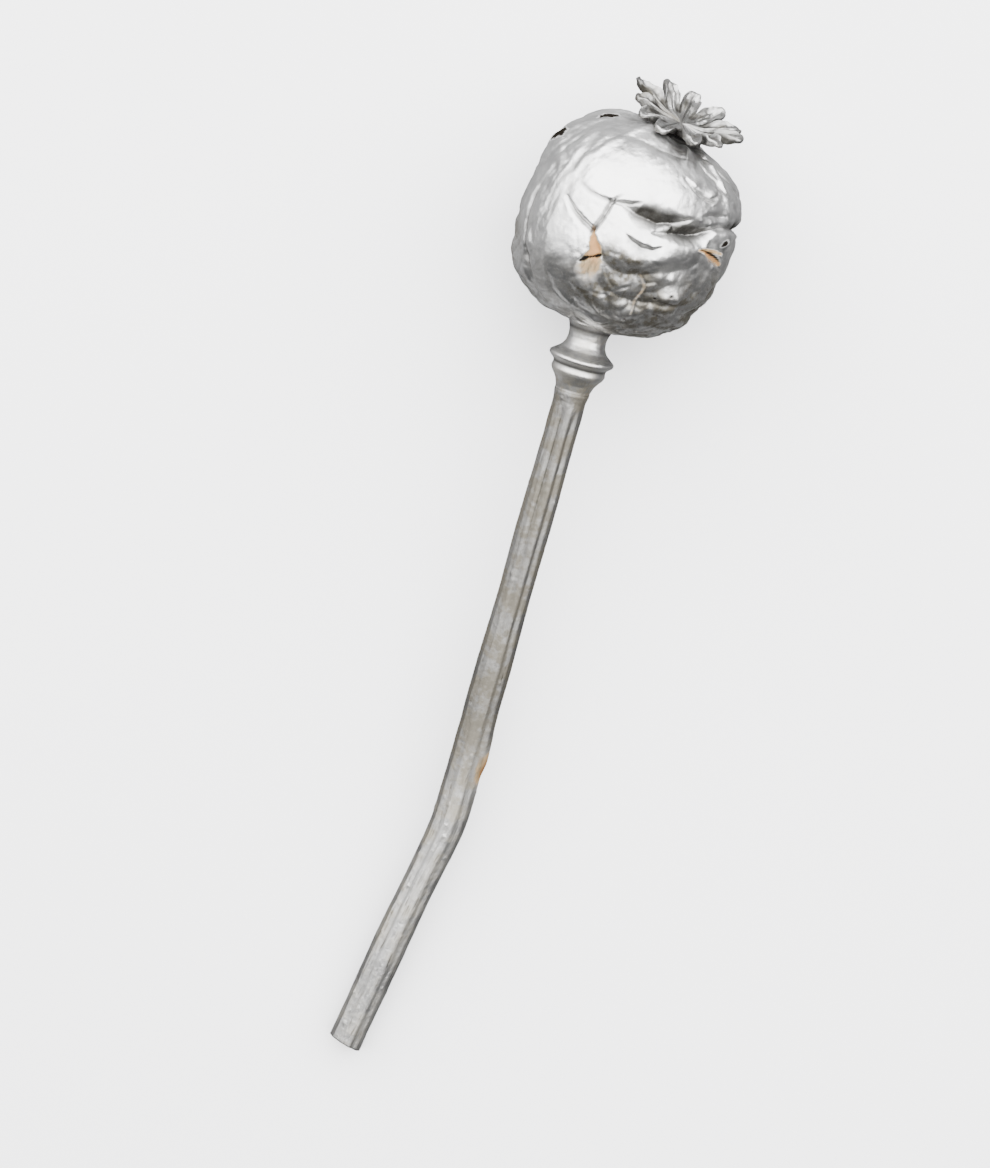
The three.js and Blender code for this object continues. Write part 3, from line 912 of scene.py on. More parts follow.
def capsule_skin(turn, ring, capsule, stem):
    """The capsule's laid points and marks."""
    radius, above, below = capsule.radius / MM, capsule.above / MM, capsule.below / MM
    longitude = turn - 25.0 * np.sin(np.radians(turn + 90))  # columns crowd to the front
    latitude = 90.0 - 180.0 * ring / capsule.rings
    toward = direction(longitude, latitude)
    across = np.hypot(toward[:, 0], toward[:, 1])
    rise = toward[:, 2]
    longitude = np.degrees(np.arctan2(toward[:, 1], toward[:, 0]))

    half = np.where(rise > 0, above, below)
    full = np.where(rise > 0, FULLNESS_ABOVE, FULLNESS_BELOW)
    body = ((across / radius) ** full + np.abs(rise / half) ** full) ** (-1 / full)
    folds, fold_shade = fold_relief(toward, radius)
    wrinkles, wrinkle_shade = wrinkle_relief(toward, radius)
    crumples, crumple_shade = crumple_relief(toward, capsule.bump_height / MM, radius)
    fine, fine_shade = fine_relief(toward, longitude, latitude, capsule.crumple / MM, radius)
    holes, opened = hole_relief(toward, radius)
    tears, bare, slit = tear_relief(toward, radius)
    share = crumple_share(longitude, latitude)
    relief = (
        rib_relief(longitude, latitude, radius)
        + folds * smoothstep(latitude, -85, -60)
        + swell_relief(toward, radius)
        + crumples * share
        + wrinkles
        + fine
        + holes
        + tears
    )
    skin = body + relief * smoothstep(90 - latitude, 8, 22) - SKIN_INSET

    # The flat seat of the crown, filleted into the shoulders.
    nod = math.radians(CROWN_NOD)
    facing = toward @ (0.0, -math.sin(nod), math.cos(nod))
    top = SEAT_HEIGHT * math.cos(nod) / np.maximum(facing, 1e-6)
    seat = np.minimum(top, SEAT_RADIUS / np.maximum(across, 1e-6))
    seated = np.where(seat >= top, seat, filleted_max(skin, seat, SEAT_FILLET))
    skin = np.where(rise > 0, seated, skin)

    # The paint is thinned and brownish low down, and the darkness there is also painted shade on the underside; the
    # band round the crown's seat is painted shade too.
    low = latitude + 7 * np.sin(np.radians(2.3 * longitude)) + 5 * wander(toward * radius, 6.0)
    thin_paint_and_shading = 0.95 * smoothstep(-low, -2, 30) + 0.35 * bell(latitude - 84, 10)
    for at, height, amount, width in SHADING_PATCHES:
        away = np.linalg.norm(toward - direction(at, height), axis=1) * radius
        thin_paint_and_shading += amount * bell(away, width)
    # Painted shadow on the capsule round the crown's seat, where the crown hangs over it.
    under_crown_shadow = smoothstep(7.2 - across * skin, 0, 2) * (rise > 0)
    marks = {
        # Painted shade in the folds, wrinkles and crumple edges and round the crown's seat.
        "crease_shade_and_grain": np.maximum.reduce(
            [fold_shade, wrinkle_shade, 0.5 * crumple_shade * share, 0.3 * fine_shade, 0.95 * under_crown_shadow]
        ),
        "thin_paint_and_shading": thin_paint_and_shading,
        "bare": bare,
        "hole": np.maximum(opened, slit),
    }
    points = leaned(toward * skin[:, None], (1 + rise) / 2)
    return laid_down(points, capsule, stem), marks


def crown_skin(turn, ring, crown, capsule, stem):
    """The crown's laid points and marks: a thick disc cut into cupped lobes, each with a double ray."""
    reach_out, notch, thickness = crown.reach / MM, crown.notch / MM, crown.thickness / MM
    face_shares = np.arange(CROWN_FACE_RINGS) / CROWN_FACE_RINGS
    rim_turns = np.radians(np.linspace(90, -90, CROWN_RIM_RINGS))
    shares = np.concatenate([face_shares, np.cos(rim_turns) * 0.03 + 0.97, face_shares[::-1]])
    shares[:CROWN_FACE_RINGS] *= 0.97
    shares[-CROWN_FACE_RINGS:] *= 0.97
    levels = np.concatenate(
        [np.ones(CROWN_FACE_RINGS), 0.5 + 0.5 * np.sin(rim_turns), np.zeros(CROWN_FACE_RINGS)]
    )
    share, level = shares[ring], levels[ring]

    count = len(LOBES)
    place = turn / 360.0 * count
    index = np.floor(place + 0.5)
    side = 2 * (place - index)
    lobe = LOBES[np.mod(index, count).astype(int)]
    beside = LOBES[np.mod(index + np.sign(side), count).astype(int)]
    join = (0.5 * np.abs(side) ** 4)[:, None]
    lift, bend, _ = (lobe * (1 - join) + beside * join).T
    edge = (1 - np.abs(side) ** 2.6) ** 0.65
    notch = notch - 1.3 * bell(turn_between(-70, turn + FIRST_LOBE), 62)
    reach = notch + (reach_out * lobe[:, 2] - notch) * edge

    # Walk out along the lobe, turning up as it goes.
    steps = 16
    out, up, slope = np.zeros(len(turn)), np.zeros(len(turn)), np.zeros(len(turn))
    for i in range(steps):
        gone = reach * share * (i + 0.5) / steps
        slope = np.radians(lift * smoothstep(gone, 2.5, 6.5) + bend * smoothstep(gone, 7.5, reach_out))
        out += np.cos(slope) * reach * share / steps
        up += np.sin(slope) * reach * share / steps
    gone = reach * share
    cup = crown.cup / MM * np.abs(side) ** 2.4 * smoothstep(gone, SEAT_RADIUS, 9)
    fade = smoothstep(gone, 0, 2) * (1 - smoothstep(share, 0.8, 1))
    ray = (crown.ray / MM * bell(side, 0.42) - 0.5 * bell(side, 0.12)) * fade
    rolled = 0.3 * smoothstep(share, 0.8, 0.97) * smoothstep(gone, 6, 8)
    thick = thickness * (1 - 0.3 * smoothstep(gone, 6, reach_out))
    over = cup + rolled + level * (thick + ray)
    # The hub's underside runs down into the seat, so no light shows between them.
    hub = (1 - level) * (GAP + 0.15) * (1 - smoothstep(gone, 0.75 * SEAT_RADIUS, 0.95 * SEAT_RADIUS))
    radius = out - np.sin(slope) * over
    height = up + np.cos(slope) * over - hub + GAP
    narrowed = LOBE_WAIST * side * smoothstep(gone, 4.8, 8.5) * 180 / count
    around = np.radians(turn + FIRST_LOBE - narrowed)
    points = np.stack([radius * np.cos(around), radius * np.sin(around), height], axis=-1)
    uneven = wander(points, 2.6)[:, None] * smoothstep(gone, 5, 10)[:, None]
    points += uneven * np.array([0.2, 0.2, 0.6])
    grain = wander(points, 0.7, 2)
    points[:, 2] += 0.05 * grain * smoothstep(gone, 1, 4)
    nod = math.radians(CROWN_NOD)
    x, y, z = points.T
    tipped = (x, y * math.cos(nod) - z * math.sin(nod), y * math.sin(nod) + z * math.cos(nod) + SEAT_HEIGHT)
    points = np.stack(tipped, axis=-1)
    # Painted shade in the notches between the lobes, in the cups, along and beside the ray, on the lobes' undersides
    # and on the side lobes, with dark specks as grain.
    notch_shade = 1.3 * smoothstep(np.abs(side), 0.35, 0.8) * smoothstep(gone, 3.4, 5.2) * smoothstep(8.0 - gone, 0, 2)
    cup_shade = bell(side - 0.42, 0.28) * smoothstep(gone, 4.5, 6.5) * (1 - smoothstep(share, 0.72, 0.92))
    ray_groove = bell(side, 0.12) * fade
    beside_ray = bell(np.abs(side) - 0.6, 0.22) * fade * smoothstep(gone, 2, 5)
    specks = 0.6 * smoothstep(grain, 0.05, 0.4) * smoothstep(gone, 2, 5)
    flank_shade = 0.5 * np.abs(np.cos(np.radians(turn + FIRST_LOBE))) ** 3
    marks = {
        "crease_shade_and_grain": np.maximum.reduce(
            [0.85 * ray_groove, notch_shade, 0.6 * beside_ray, 0.7 * cup_shade, 0.8 * (1 - level), specks, flank_shade]
        ),
        # On the crown the thinned paint is painted shade as well: on the undersides, near the hub, in the cups and on
        # the left lobe.
        "thin_paint_and_shading": (
            0.25
            + 0.4 * (1 - level)
            + 0.3 * smoothstep(4 - gone, 0, 3)
            + 0.6 * cup_shade
            + 0.5 * bell(turn_between(170, turn + FIRST_LOBE), 40)
        ),
        "bare": np.zeros(len(turn)),
        "hole": np.zeros(len(turn)),
    }
    return laid_down(leaned(points, 1.0), capsule, stem), marks


def stem_heading(down):
    """How far the stem's line is turned to +X, at a distance down from the capsule."""
    return np.radians(4.2 - 10.1 * smoothstep(down, 91.4, 103.4) + 1.6 * smoothstep(down, 109.4, 123.4))


def stem_middle(down, below):
    """The middle of the stem at each distance down, found by adding up short steps."""
    fine = np.linspace(0.0, down.max(), 3000)
    heading = stem_heading((fine[1:] + fine[:-1]) / 2)
    step = np.diff(fine)
    x = np.concatenate([[0.0], np.cumsum(np.sin(heading) * step)])
    z = np.concatenate([[0.0], np.cumsum(np.cos(heading) * step)])
    above = np.minimum(down, 0.0)
    return STEM_ASIDE + np.interp(down, fine, x), -below - GAP - np.interp(down, fine, z) - above


def neck_radius(down):
    """The outline of the neck and its collar, with its corners rounded."""
    fine = np.arange(-NECK_ROOT, NECK_END + 2, 0.05)
    radius = np.interp(fine, NECK_OUTLINE[:, 0], NECK_OUTLINE[:, 1])
    kernel = bell(np.arange(-8, 9) * 0.05, 0.17)
    padded = np.pad(radius, 8, mode="edge")
    return np.interp(down, fine, np.convolve(padded, kernel / kernel.sum(), mode="valid"))


def stem_radius(down, turn, stem):
    """The stem's radius and the painted shade in its grooves, down from the capsule and round it."""
    top, end, length = stem.top_radius / MM, stem.end_radius / MM, stem.length / MM
    bare = smoothstep(down, NECK_END, NECK_END + 4)
    flutes = 0.09 * np.cos(np.radians(FLUTES * turn)) * bare
    grooves = np.zeros(len(down))
    painted_shade = np.zeros(len(down))
    for at, depth in GROOVES:
        side = np.radians(turn_between(at + 6 * np.sin(down / 23), turn)) * top
        fade = bare * (1 - 0.65 * smoothstep(down, 25, 75))
        grooves += depth * fade * bell(side, 0.55)
        # Painted shade in the grooves.
        painted_shade = np.maximum(painted_shade, 1.8 * depth * fade * bell(side, 0.4))
    swelling = STEM_SWELLING * bell(down - SCAR_DOWN, 20) + 0.07 * np.sin(down / 4.7) * bare
    around_scar = bell(np.radians(turn_between(SCAR_AT, turn)) * top, 1.5)
    scar_top = smoothstep(down, SCAR_DOWN - 9, SCAR_DOWN)
    scar = SCAR_HEIGHT * around_scar * scar_top * (1 - smoothstep(down, SCAR_DOWN + 1, SCAR_DOWN + 5))
    plain = top + (end - top) * (down - NECK_END) / (length - NECK_END)
    lower = plain + flutes - grooves + swelling + scar
    radius = np.where(down >= NECK_END, lower, neck_radius(down))
    return radius, painted_shade


def stem_skin(turn, ring, stations, caps, stem, capsule):
    """The stem's laid points and marks: neck, collar, grooved stem and slanted cut."""
    down, cap = stations[ring], caps[ring]
    top = stem.top_radius / MM
    radius, painted_shade = stem_radius(down, turn, stem)
    place = np.stack([down, np.radians(turn) * top, np.zeros(len(turn))], axis=-1)
    round_place = np.stack(
        [down / 9.0, 1.1 * np.cos(np.radians(turn)) * top, 1.1 * np.sin(np.radians(turn)) * top], axis=-1
    )
    fibres = wander(round_place, 0.42, 3)
    lumps = wander(np.stack([down, *(round_place[:, 1:].T)], axis=-1), 4.5)
    bare = smoothstep(down, 9, 13)
    radius = radius + (0.035 * fibres * (0.35 + 0.65 * bare) + 0.05 * lumps) * np.where(cap < 1, 0.0, 1.0)

    n = np.arange(HAIR_BASES)
    dots_down = 10 + (stem.length / MM - 14) * scatter(n + 900.0)
    dots_turn = 360 * scatter(n + 1300.0)
    dots = np.zeros(len(down))
    for at, around, size in zip(dots_down, dots_turn, scatter(n + 1700.0)):
        near = np.abs(down - at) < 1.2
        side = np.radians(turn_between(around, turn[near])) * top
        dots[near] += (0.03 + 0.09 * size) * bell(np.hypot(down[near] - at, side), 0.2 + 0.12 * size)
    radius = radius + dots * (cap >= 1)

    # The cut end: the rim of the hollow-looking stalk round a pale, slightly sunken pith.
    sunk = 0.55 * bell(cap, 0.33) + 0.18 * smoothstep(cap, 0.8, 0.7)
    x, z = stem_middle(down, capsule.below / MM)
    heading = stem_heading(down)
    across = radius * cap
    slant = across * math.tan(math.radians(CUT_SLANT)) * np.cos(np.radians(turn - 60))
    slant = slant * smoothstep(down, stem.length / MM - 2.0, stem.length / MM)
    slant = slant - sunk * (cap < 1) * (down > NECK_END)
    sideways = across * np.cos(np.radians(turn))
    points = np.stack(
        [
            x + sideways * np.cos(heading) + slant * np.sin(heading),
            across * np.sin(np.radians(turn)),
            z + sideways * np.sin(heading) - slant * np.cos(heading),
        ],
        axis=-1,
    )
    at_cut = (cap < 1) & (down > NECK_END)
    scar_side = np.radians(turn_between(SCAR_AT, turn)) * top
    scar_mark = bell(scar_side - 0.25 * fibres, 1.3) * bell(down - SCAR_DOWN - 2.4, 2.6)
    # Painted shade in lines along the collar's rings and where the neck meets the capsule.
    ring_lines = bell(down - 6.95, 0.4) + 0.6 * bell(down - 4.7, 0.22) + 0.9 * bell(down - 11.9, 0.3)
    ring_lines += bell(down - 0.1, 0.5)
    # The stem is darker from just below the collar to about 90 mm down.
    upper_stem_darkening = 0.72 * smoothstep(down, 8, 14) * (1 - smoothstep(down, 74, 108))
    marks = {
        "crease_shade_and_grain": np.maximum.reduce([painted_shade, 0.85 * ring_lines, np.clip(-fibres - 0.1, 0, 1) * bare, upper_stem_darkening]),
        # The stem's paint is thinned below the collar, darker where the collar narrows and on the side round -64°,
        # with painted shade on the flank round -146°, and lighter towards the cut end.
        "thin_paint_and_shading": (
            0.2
            + 0.85 * bare
            + 0.25 * lumps
            + 0.35 * bell(down - 9.9, 2.0)
            + (0.3 + 0.2 * bare) * bell(turn_between(-64, turn), 38)
            + 0.6 * bell(turn_between(-146, turn), 26) * bare
            - 0.9 * smoothstep(down, 76, 106)
            + 0.35 * np.clip(-fibres, 0, 1) * bare
        ),
        "bare": np.maximum(1.1 * scar_mark, np.where(at_cut, 0.45, 0.0)),
        # The middle of the cut end is painted near-black as the shade inside the hollow, and the scar is darkened.
        "hole": np.where(at_cut, 0.9 * bell(cap, 0.2), 0.72 * scar_mark ** 0.5),
    }
    return laid_down(points, capsule, stem), marks


def add_node(tree, kind, inputs=None, **settings):
    """Adds a shader node. An input is a value, or the socket that feeds it."""
    made = tree.nodes.new(kind)
    for name, value in settings.items():
        setattr(made, name, value)
    for socket, value in (inputs or {}).items():
        if isinstance(value, bpy.types.NodeSocket):
            tree.links.new(value, made.inputs[socket])
        else:
            made.inputs[socket].default_value = value
    return made


def calc(tree, operation, a, b=0.0, clamp=False):
    """The result of one sum over the surface."""
    made = add_node(tree, "ShaderNodeMath", {0: a, 1: b}, operation=operation, use_clamp=clamp)
    return made.outputs[0]


def stepped(tree, value, start, end, low=0.0, high=1.0):
    """A value smoothly mapped from start..end to low..high."""
    inputs = {"Value": value, "From Min": start, "From Max": end, "To Min": low, "To Max": high}
    made = add_node(tree, "ShaderNodeMapRange", inputs, interpolation_type="SMOOTHSTEP")
    return made.outputs["Result"]


def mixed(tree, share, a, b, blend="MIX"):
    """Two colours mixed by a share."""
    inputs = {0: share, 6: a, 7: b}
    made = add_node(tree, "ShaderNodeMix", inputs, data_type="RGBA", blend_type=blend)
    return made.outputs[2]


def opaque(color):
    """A colour with full alpha."""
    return (*color, 1.0)


def silver_spray():
    """The node group of silver spray on husk: thick paint, thinned paint, painted shade, bare husk and near-black
    holes.
    """
    tree = bpy.data.node_groups.new("Silver spray", "ShaderNodeTree")
    colors = ("Paint", "Thin paint and shade", "Husk", "Faded husk")
    values = ("Crease_shade_and_grain", "Thin_paint_and_shading", "Bare", "Hole", "Roughness", "Metallic")
    for name in colors:
        tree.interface.new_socket(name=name, in_out="INPUT", socket_type="NodeSocketColor")
    for name in values:
        tree.interface.new_socket(name=name, in_out="INPUT", socket_type="NodeSocketFloat")
    tree.interface.new_socket(name="Color", in_out="OUTPUT", socket_type="NodeSocketColor")
    for name in ("Roughness", "Metallic", "Grain"):
        tree.interface.new_socket(name=name, in_out="OUTPUT", socket_type="NodeSocketFloat")
    given = tree.nodes.new("NodeGroupInput").outputs
    result = tree.nodes.new("NodeGroupOutput").inputs

    def cloud(scale, detail):
        place = add_node(tree, "ShaderNodeTexCoord").outputs["Object"]
        inputs = {"Vector": place, "Scale": scale, "Detail": detail, "Roughness": 0.6}
        return add_node(tree, "ShaderNodeTexNoise", inputs).outputs[0]

    blotches = stepped(tree, cloud(230.0, 4.0), 0.38, 0.62)
    specks = stepped(tree, cloud(900.0, 3.0), 0.35, 0.65)
    grain = cloud(2600.0, 2.0)

    # Thinned paint, with the painted shade laid on through it, shows in blotches that break up into specks.
    mottle = calc(tree, "ADD", calc(tree, "MULTIPLY", blotches, 0.65), calc(tree, "MULTIPLY", specks, 0.35))
    thin_paint_and_shading = calc(tree, "MULTIPLY", given["Thin_paint_and_shading"], stepped(tree, mottle, 0.1, 0.85, 0.2, 1.0), clamp=True)
    paint = mixed(tree, thin_paint_and_shading, given["Paint"], given["Thin paint and shade"])
    # Painted shade pulls the paint towards near-black along the creases and the other shaded places.
    painted_shade = calc(tree, "MULTIPLY", given["Crease_shade_and_grain"], stepped(tree, specks, 0.0, 1.0, 0.96, 1.0), clamp=True)
    shaded_paint = mixed(tree, calc(tree, "MULTIPLY", painted_shade, 0.97), paint, (0.03, 0.028, 0.024, 1.0))

    # Bare husk goes from faded to orange as the tear is fresher.
    place = add_node(tree, "ShaderNodeTexCoord").outputs["Object"]
    drawn_out = add_node(tree, "ShaderNodeVectorMath", {0: place, 1: (1.0, 0.25, 0.6)}, operation="MULTIPLY")
    inputs = {"Vector": drawn_out.outputs["Vector"], "Scale": 1700.0, "Detail": 3.0}
    streaks = stepped(tree, add_node(tree, "ShaderNodeTexNoise", inputs).outputs[0], 0.45, 0.65)
    fibre = mixed(tree, calc(tree, "MULTIPLY", specks, 0.35), given["Faded husk"], given["Husk"])
    fibre = mixed(tree, calc(tree, "MULTIPLY", streaks, 0.6), fibre, (0.09, 0.075, 0.05, 1.0))
    husk = mixed(tree, stepped(tree, given["Bare"], 0.45, 0.95), fibre, given["Husk"])
    uncovered = stepped(tree, given["Bare"], 0.05, 0.35)
    shown = mixed(tree, uncovered, shaded_paint, husk)
    # Holes are painted near-black, as the shade inside them.
    color = mixed(tree, given["Hole"], shown, (0.006, 0.005, 0.004, 1.0))
    tree.links.new(color, result["Color"])

    # Paint is duller where it is thinned or carries painted shade. Husk and holes are matt and not metallic.
    dull = calc(tree, "ADD", calc(tree, "MULTIPLY", thin_paint_and_shading, 0.05), calc(tree, "MULTIPLY", painted_shade, 0.2))
    uneven = calc(tree, "MULTIPLY", calc(tree, "SUBTRACT", mottle, 0.5), 0.12)
    painted = calc(tree, "ADD", given["Roughness"], calc(tree, "ADD", dull, uneven))
    covered = calc(tree, "SUBTRACT", 1.0, calc(tree, "MAXIMUM", uncovered, given["Hole"]))
    matt = calc(tree, "MULTIPLY", calc(tree, "SUBTRACT", 1.0, covered), 0.5)
    tree.links.new(calc(tree, "ADD", painted, matt, clamp=True), result["Roughness"])
    worn = calc(tree, "SUBTRACT", 1.0, calc(tree, "MULTIPLY", thin_paint_and_shading, 0.05))
    metal = calc(tree, "MULTIPLY", given["Metallic"], calc(tree, "MULTIPLY", covered, worn))
    tree.links.new(metal, result["Metallic"])
    relief = calc(tree, "ADD", calc(tree, "MULTIPLY", grain, 0.6), calc(tree, "MULTIPLY", specks, 0.4))
    tree.links.new(relief, result["Grain"])
    return tree


def silver_material(name, finish, shade, thin_shade, roughness, metallic, grain_height):
    """Silver spray on one organ of the plant. The shades darken or lighten its paint."""
    group = bpy.data.node_groups.get("Silver spray") or silver_spray()
    material = bpy.data.materials.new(name)
    material.use_nodes = True
    tree = material.node_tree
    shader = tree.nodes["Principled BSDF"]
    inputs = {
        "Paint": opaque(c * shade for c in finish.silver),
        "Thin paint and shade": opaque(c * thin_shade for c in finish.thin_silver_and_shade),
        "Husk": opaque(finish.husk),
        "Faded husk": opaque(finish.faded_husk),
        "Roughness": roughness,
        "Metallic": metallic,
    }
    for mark in ("crease_shade_and_grain", "thin_paint_and_shading", "bare", "hole"):
        inputs[mark.capitalize()] = add_node(
            tree, "ShaderNodeAttribute", attribute_name=mark, attribute_type="GEOMETRY"
        ).outputs["Fac"]
    spray = tree.nodes.new("ShaderNodeGroup")
    spray.node_tree = group
    for socket, value in inputs.items():
        if isinstance(value, bpy.types.NodeSocket):
            tree.links.new(value, spray.inputs[socket])
        else:
            spray.inputs[socket].default_value = value
    shader.inputs["Specular IOR Level"].default_value = 0.0
    bump = add_node(
        tree, "ShaderNodeBump", {"Strength": 0.8, "Distance": grain_height, "Height": spray.outputs["Grain"]}
    )
    tree.links.new(spray.outputs["Color"], shader.inputs["Base Color"])
    tree.links.new(spray.outputs["Roughness"], shader.inputs["Roughness"])
    tree.links.new(spray.outputs["Metallic"], shader.inputs["Metallic"])
    tree.links.new(bump.outputs["Normal"], shader.inputs["Normal"])
    return material


def finished(piece, node, material):
    """Gives a piece its material, and puts it in the place of the solid of its name."""
    piece.data.materials.append(material)
    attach(piece, "root")
    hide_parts(node)


class POPPY_OT_capsule(bpy.types.Operator):
    """Makes the crumpled capsule"""

    bl_idname = "poppy.capsule"
    bl_label = "Capsule"

    def execute(self, context):
        scene = context.scene
        capsule, stem, finish = scene.poppy_capsule, scene.poppy_stem, scene.poppy_finish
        piece = ringed(
            "capsule_wall",
            capsule.columns,
            capsule.rings,
            lambda turn, ring: capsule_skin(turn, ring, capsule, stem),
        )
        material = silver_material("Sprayed capsule", finish, 1.0, 1.0, finish.roughness, 1.0, 0.00004)
        finished(piece, "capsule", material)
        return {"FINISHED"}


class POPPY_OT_crown(bpy.types.Operator):
    """Makes the lobed crown"""

    bl_idname = "poppy.crown"
    bl_label = "Crown"

    def execute(self, context):
        scene = context.scene
        crown, capsule, stem = scene.poppy_crown, scene.poppy_capsule, scene.poppy_stem
        finish = scene.poppy_finish
        piece = ringed(
            "crown_lobes",
            LOBE_COLUMNS * len(LOBES),
            2 * CROWN_FACE_RINGS + CROWN_RIM_RINGS - 1,
            lambda turn, ring: crown_skin(turn, ring, crown, capsule, stem),
        )
        # The crown's paint is a darker copy of the capsule's silver, as painted shade.
        material = silver_material("Sprayed crown", finish, 0.64, 0.8, finish.roughness - 0.06, 1.0, 0.00006)
        finished(piece, "crown", material)
        return {"FINISHED"}


class POPPY_OT_stem(bpy.types.Operator):
    """Makes the neck, the collar and the cut stem"""

    bl_idname = "poppy.stem"
    bl_label = "Stem"

    def execute(self, context):
        scene = context.scene
        capsule, stem, finish = scene.poppy_capsule, scene.poppy_stem, scene.poppy_finish
        length = stem.length / MM
        root = np.full(4, -NECK_ROOT)
        neck = np.arange(-NECK_ROOT, NECK_END, 0.13)
        bare = np.linspace(NECK_END, length, 400)
        cut = np.full(24, length)
        stations = np.concatenate([root, neck, bare, cut])
        caps = np.concatenate(
            [np.linspace(0, 1, len(root), endpoint=False), np.ones(len(neck) + len(bare)), np.linspace(1, 0, 25)[1:]]
        )
        piece = ringed(
            "stem_and_collar",
            stem.columns,
            len(stations) - 1,
            lambda turn, ring: stem_skin(turn, ring, stations, caps, stem, capsule),
        )
        material = silver_material("Sprayed stem", finish, 0.8, 2.3, finish.roughness + 0.04, 1.0, 0.00005)
        finished(piece, "stem", material)
        return {"FINISHED"}


class POPPY_OT_studio(bpy.types.Operator):
    """Makes the table, the lights and the camera"""

    bl_idname = "poppy.studio"
    bl_label = "Studio"

    def execute(self, context):
        studio = context.scene.poppy_studio
        table_top(studio)
        softbox("Softbox", studio.softbox_power, (3.0, 2.2), 0.9, 32.0, 0.0)
        softbox("Side softbox", studio.side_power, (1.2, 0.5), 0.9, 70.0, 82.0)
        room_light(context.scene, studio)
        camera(context.scene, studio)
        return {"FINISHED"}


def table_top(studio):
    """A wide pale table under the object."""
    shape = bmesh.new()
    bmesh.ops.create_grid(shape, x_segments=1, y_segments=1, size=4.0)
    mesh = bpy.data.meshes.new("table_top")
    shape.to_mesh(mesh)
    shape.free()
    table = bpy.data.objects.new("table_top", mesh)
    bpy.context.scene.collection.objects.link(table)
    material = bpy.data.materials.new("Pale table")
    material.use_nodes = True
    tree = material.node_tree
    shader = tree.nodes["Principled BSDF"]
    shader.inputs["Roughness"].default_value = 0.75
    shader.inputs["Specular IOR Level"].default_value = 0.0
    place = add_node(tree, "ShaderNodeTexCoord").outputs["Object"]
    cloud = add_node(tree, "ShaderNodeTexNoise", {"Vector": place, "Scale": 3.0, "Detail": 2.0}).outputs[0]
    darker = opaque(0.96 * c for c in studio.table)
    surface = mixed(tree, cloud, darker, opaque(studio.table))
    # The silver mirrors the table dimly, as it would a dull room, which paints dark reflections on the silver, with a
    # few brighter patches that paint highlights on it.
    mirrored = add_node(tree, "ShaderNodeLightPath").outputs["Is Glossy Ray"]
    dim = opaque(studio.mirrored_table * c for c in studio.table)
    for middle, edge, core, bright in MIRRORED_HIGHLIGHTS:
        distance = add_node(tree, "ShaderNodeVectorMath", {0: place, 1: middle}, operation="DISTANCE")
        share = stepped(tree, distance.outputs["Value"], edge, core)
        dim = mixed(tree, share, dim, opaque(bright * c for c in studio.table))
    tree.links.new(mixed(tree, mirrored, surface, dim), shader.inputs["Base Color"])
    mesh.materials.append(material)


def room_light(scene, studio):
    """Dim grey light from all round, with a pale backdrop behind the table's edge."""
    room = bpy.data.worlds.new("Room")
    room.use_nodes = True
    tree = room.node_tree
    seen = add_node(tree, "ShaderNodeLightPath").outputs["Is Camera Ray"]
    strength = add_node(
        tree, "ShaderNodeMapRange", {"Value": seen, "To Min": studio.room_light, "To Max": studio.backdrop}
    )
    background = tree.nodes["Background"]
    background.inputs["Color"].default_value = (0.97, 0.98, 1.0, 1.0)
    tree.links.new(strength.outputs["Result"], background.inputs["Strength"])
    scene.world = room


def softbox(name, power, size, distance, lean, turn):
    """A rectangular light that faces the capsule: lean is its angle from straight up, to the crown's side."""
    data = bpy.data.lights.new(name, "AREA")
    data.shape = "RECTANGLE"
    data.size, data.size_y = size
    data.energy = power
    light = bpy.data.objects.new(name, data)
    way = Vector((0, math.sin(math.radians(lean)), math.cos(math.radians(lean))))
    way.rotate(Matrix.Rotation(math.radians(turn), 3, "Z"))
    light.location = way * distance
    light.rotation_mode = "QUATERNION"
    light.rotation_quaternion = way.to_track_quat("Z", "Y")
    light.visible_camera = False
    bpy.context.scene.collection.objects.link(light)


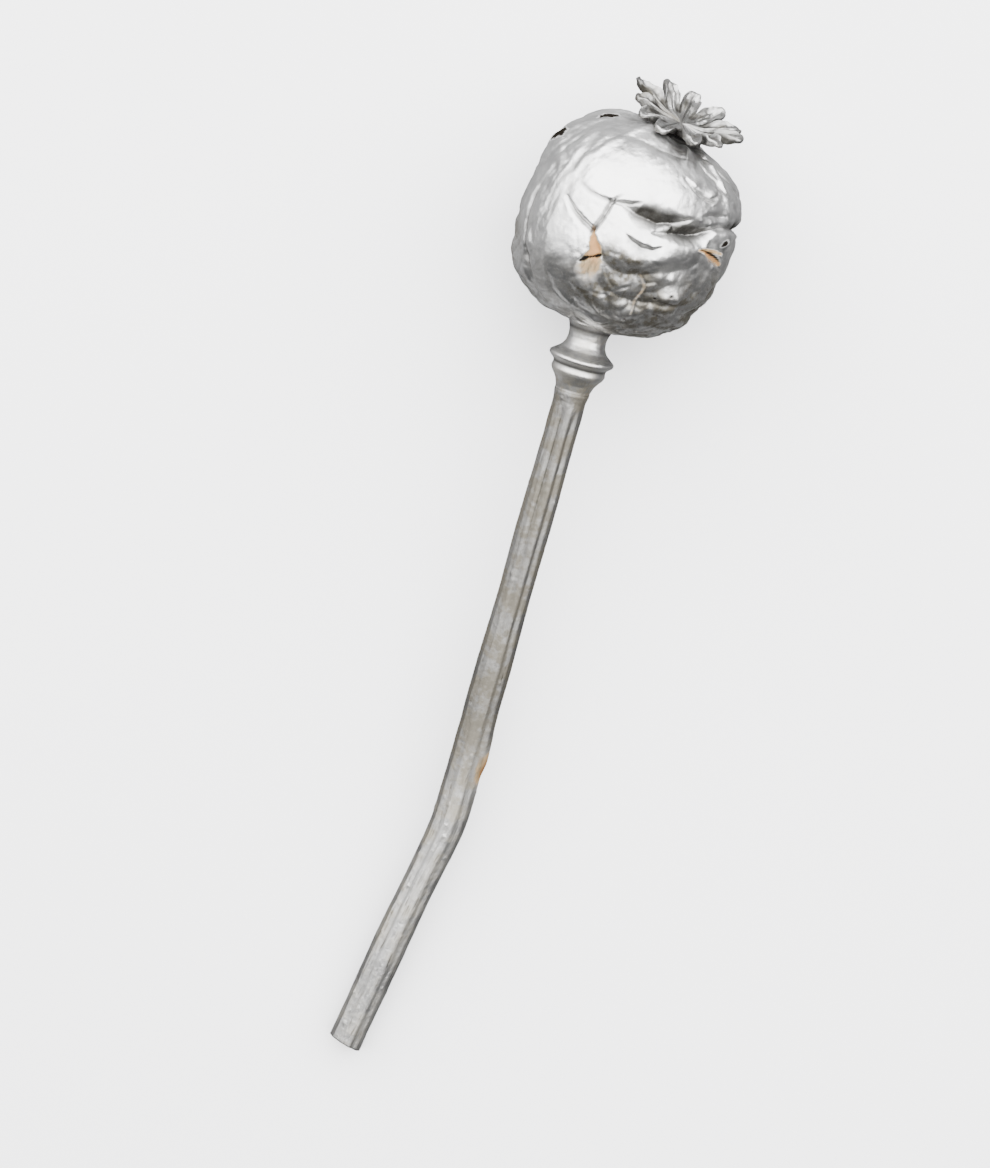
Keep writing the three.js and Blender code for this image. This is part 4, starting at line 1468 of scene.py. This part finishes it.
def camera(scene, studio):
    """Looks down on the object as the photograph does, with the whole stem in the picture."""
    data = bpy.data.cameras.new("Camera")
    data.lens = studio.lens
    lean, roll = math.radians(CAMERA_LEAN), math.radians(CAMERA_ROLL)
    back = Vector((0, math.sin(lean), math.cos(lean)))
    up = Vector((-math.sin(roll), math.cos(roll), 0))
    up = (up - up.dot(back) * back).normalized()
    right = up.cross(back)
    low, high = solid_box
    middle = (low + high) / 2
    distance = studio.frame_height / 2 / math.tan(math.atan(data.sensor_width / 2 / data.lens))
    view = bpy.data.objects.new("Camera", data)
    view.matrix_world = Matrix.Translation(middle + back * distance) @ Matrix(
        (right, up, back)
    ).transposed().to_4x4()
    data.clip_start, data.clip_end = 0.01, 20.0
    scene.collection.objects.link(view)
    scene.camera = view


class POPPY_PT_sidebar(bpy.types.Panel):
    """Lists the pieces of the seed head and their sizes"""

    bl_idname = "POPPY_PT_sidebar"
    bl_label = "Poppy head"
    bl_space_type = "VIEW_3D"
    bl_region_type = "UI"
    bl_category = "Poppy head"

    def draw(self, context):
        scene = context.scene
        listed = (
            (POPPY_OT_capsule, scene.poppy_capsule),
            (POPPY_OT_crown, scene.poppy_crown),
            (POPPY_OT_stem, scene.poppy_stem),
            (POPPY_OT_studio, scene.poppy_studio),
            (None, scene.poppy_finish),
        )
        for operator, settings in listed:
            box = self.layout.box()
            if operator:
                box.operator(operator.bl_idname)
            for name in settings.__annotations__:
                box.prop(settings, name)


SETTINGS = {
    "poppy_capsule": CapsuleSettings,
    "poppy_crown": CrownSettings,
    "poppy_stem": StemSettings,
    "poppy_finish": FinishSettings,
    "poppy_studio": StudioSettings,
}
OPERATORS = (POPPY_OT_capsule, POPPY_OT_crown, POPPY_OT_stem, POPPY_OT_studio)


def register():
    """Registers the settings, the operators and the panel."""
    for name, settings in SETTINGS.items():
        bpy.utils.register_class(settings)
        setattr(bpy.types.Scene, name, bpy.props.PointerProperty(type=settings))
    for operator in OPERATORS:
        bpy.utils.register_class(operator)
    bpy.utils.register_class(POPPY_PT_sidebar)


def unregister():
    """Takes away what register added."""
    bpy.utils.unregister_class(POPPY_PT_sidebar)
    for operator in reversed(OPERATORS):
        bpy.utils.unregister_class(operator)
    for name, settings in reversed(SETTINGS.items()):
        delattr(bpy.types.Scene, name)
        bpy.utils.unregister_class(settings)


def main():
    """Builds the seed head and its studio."""
    register()
    bpy.ops.poppy.capsule()
    bpy.ops.poppy.crown()
    bpy.ops.poppy.stem()
    bpy.ops.poppy.studio()


if __name__ == "__main__":
    main()
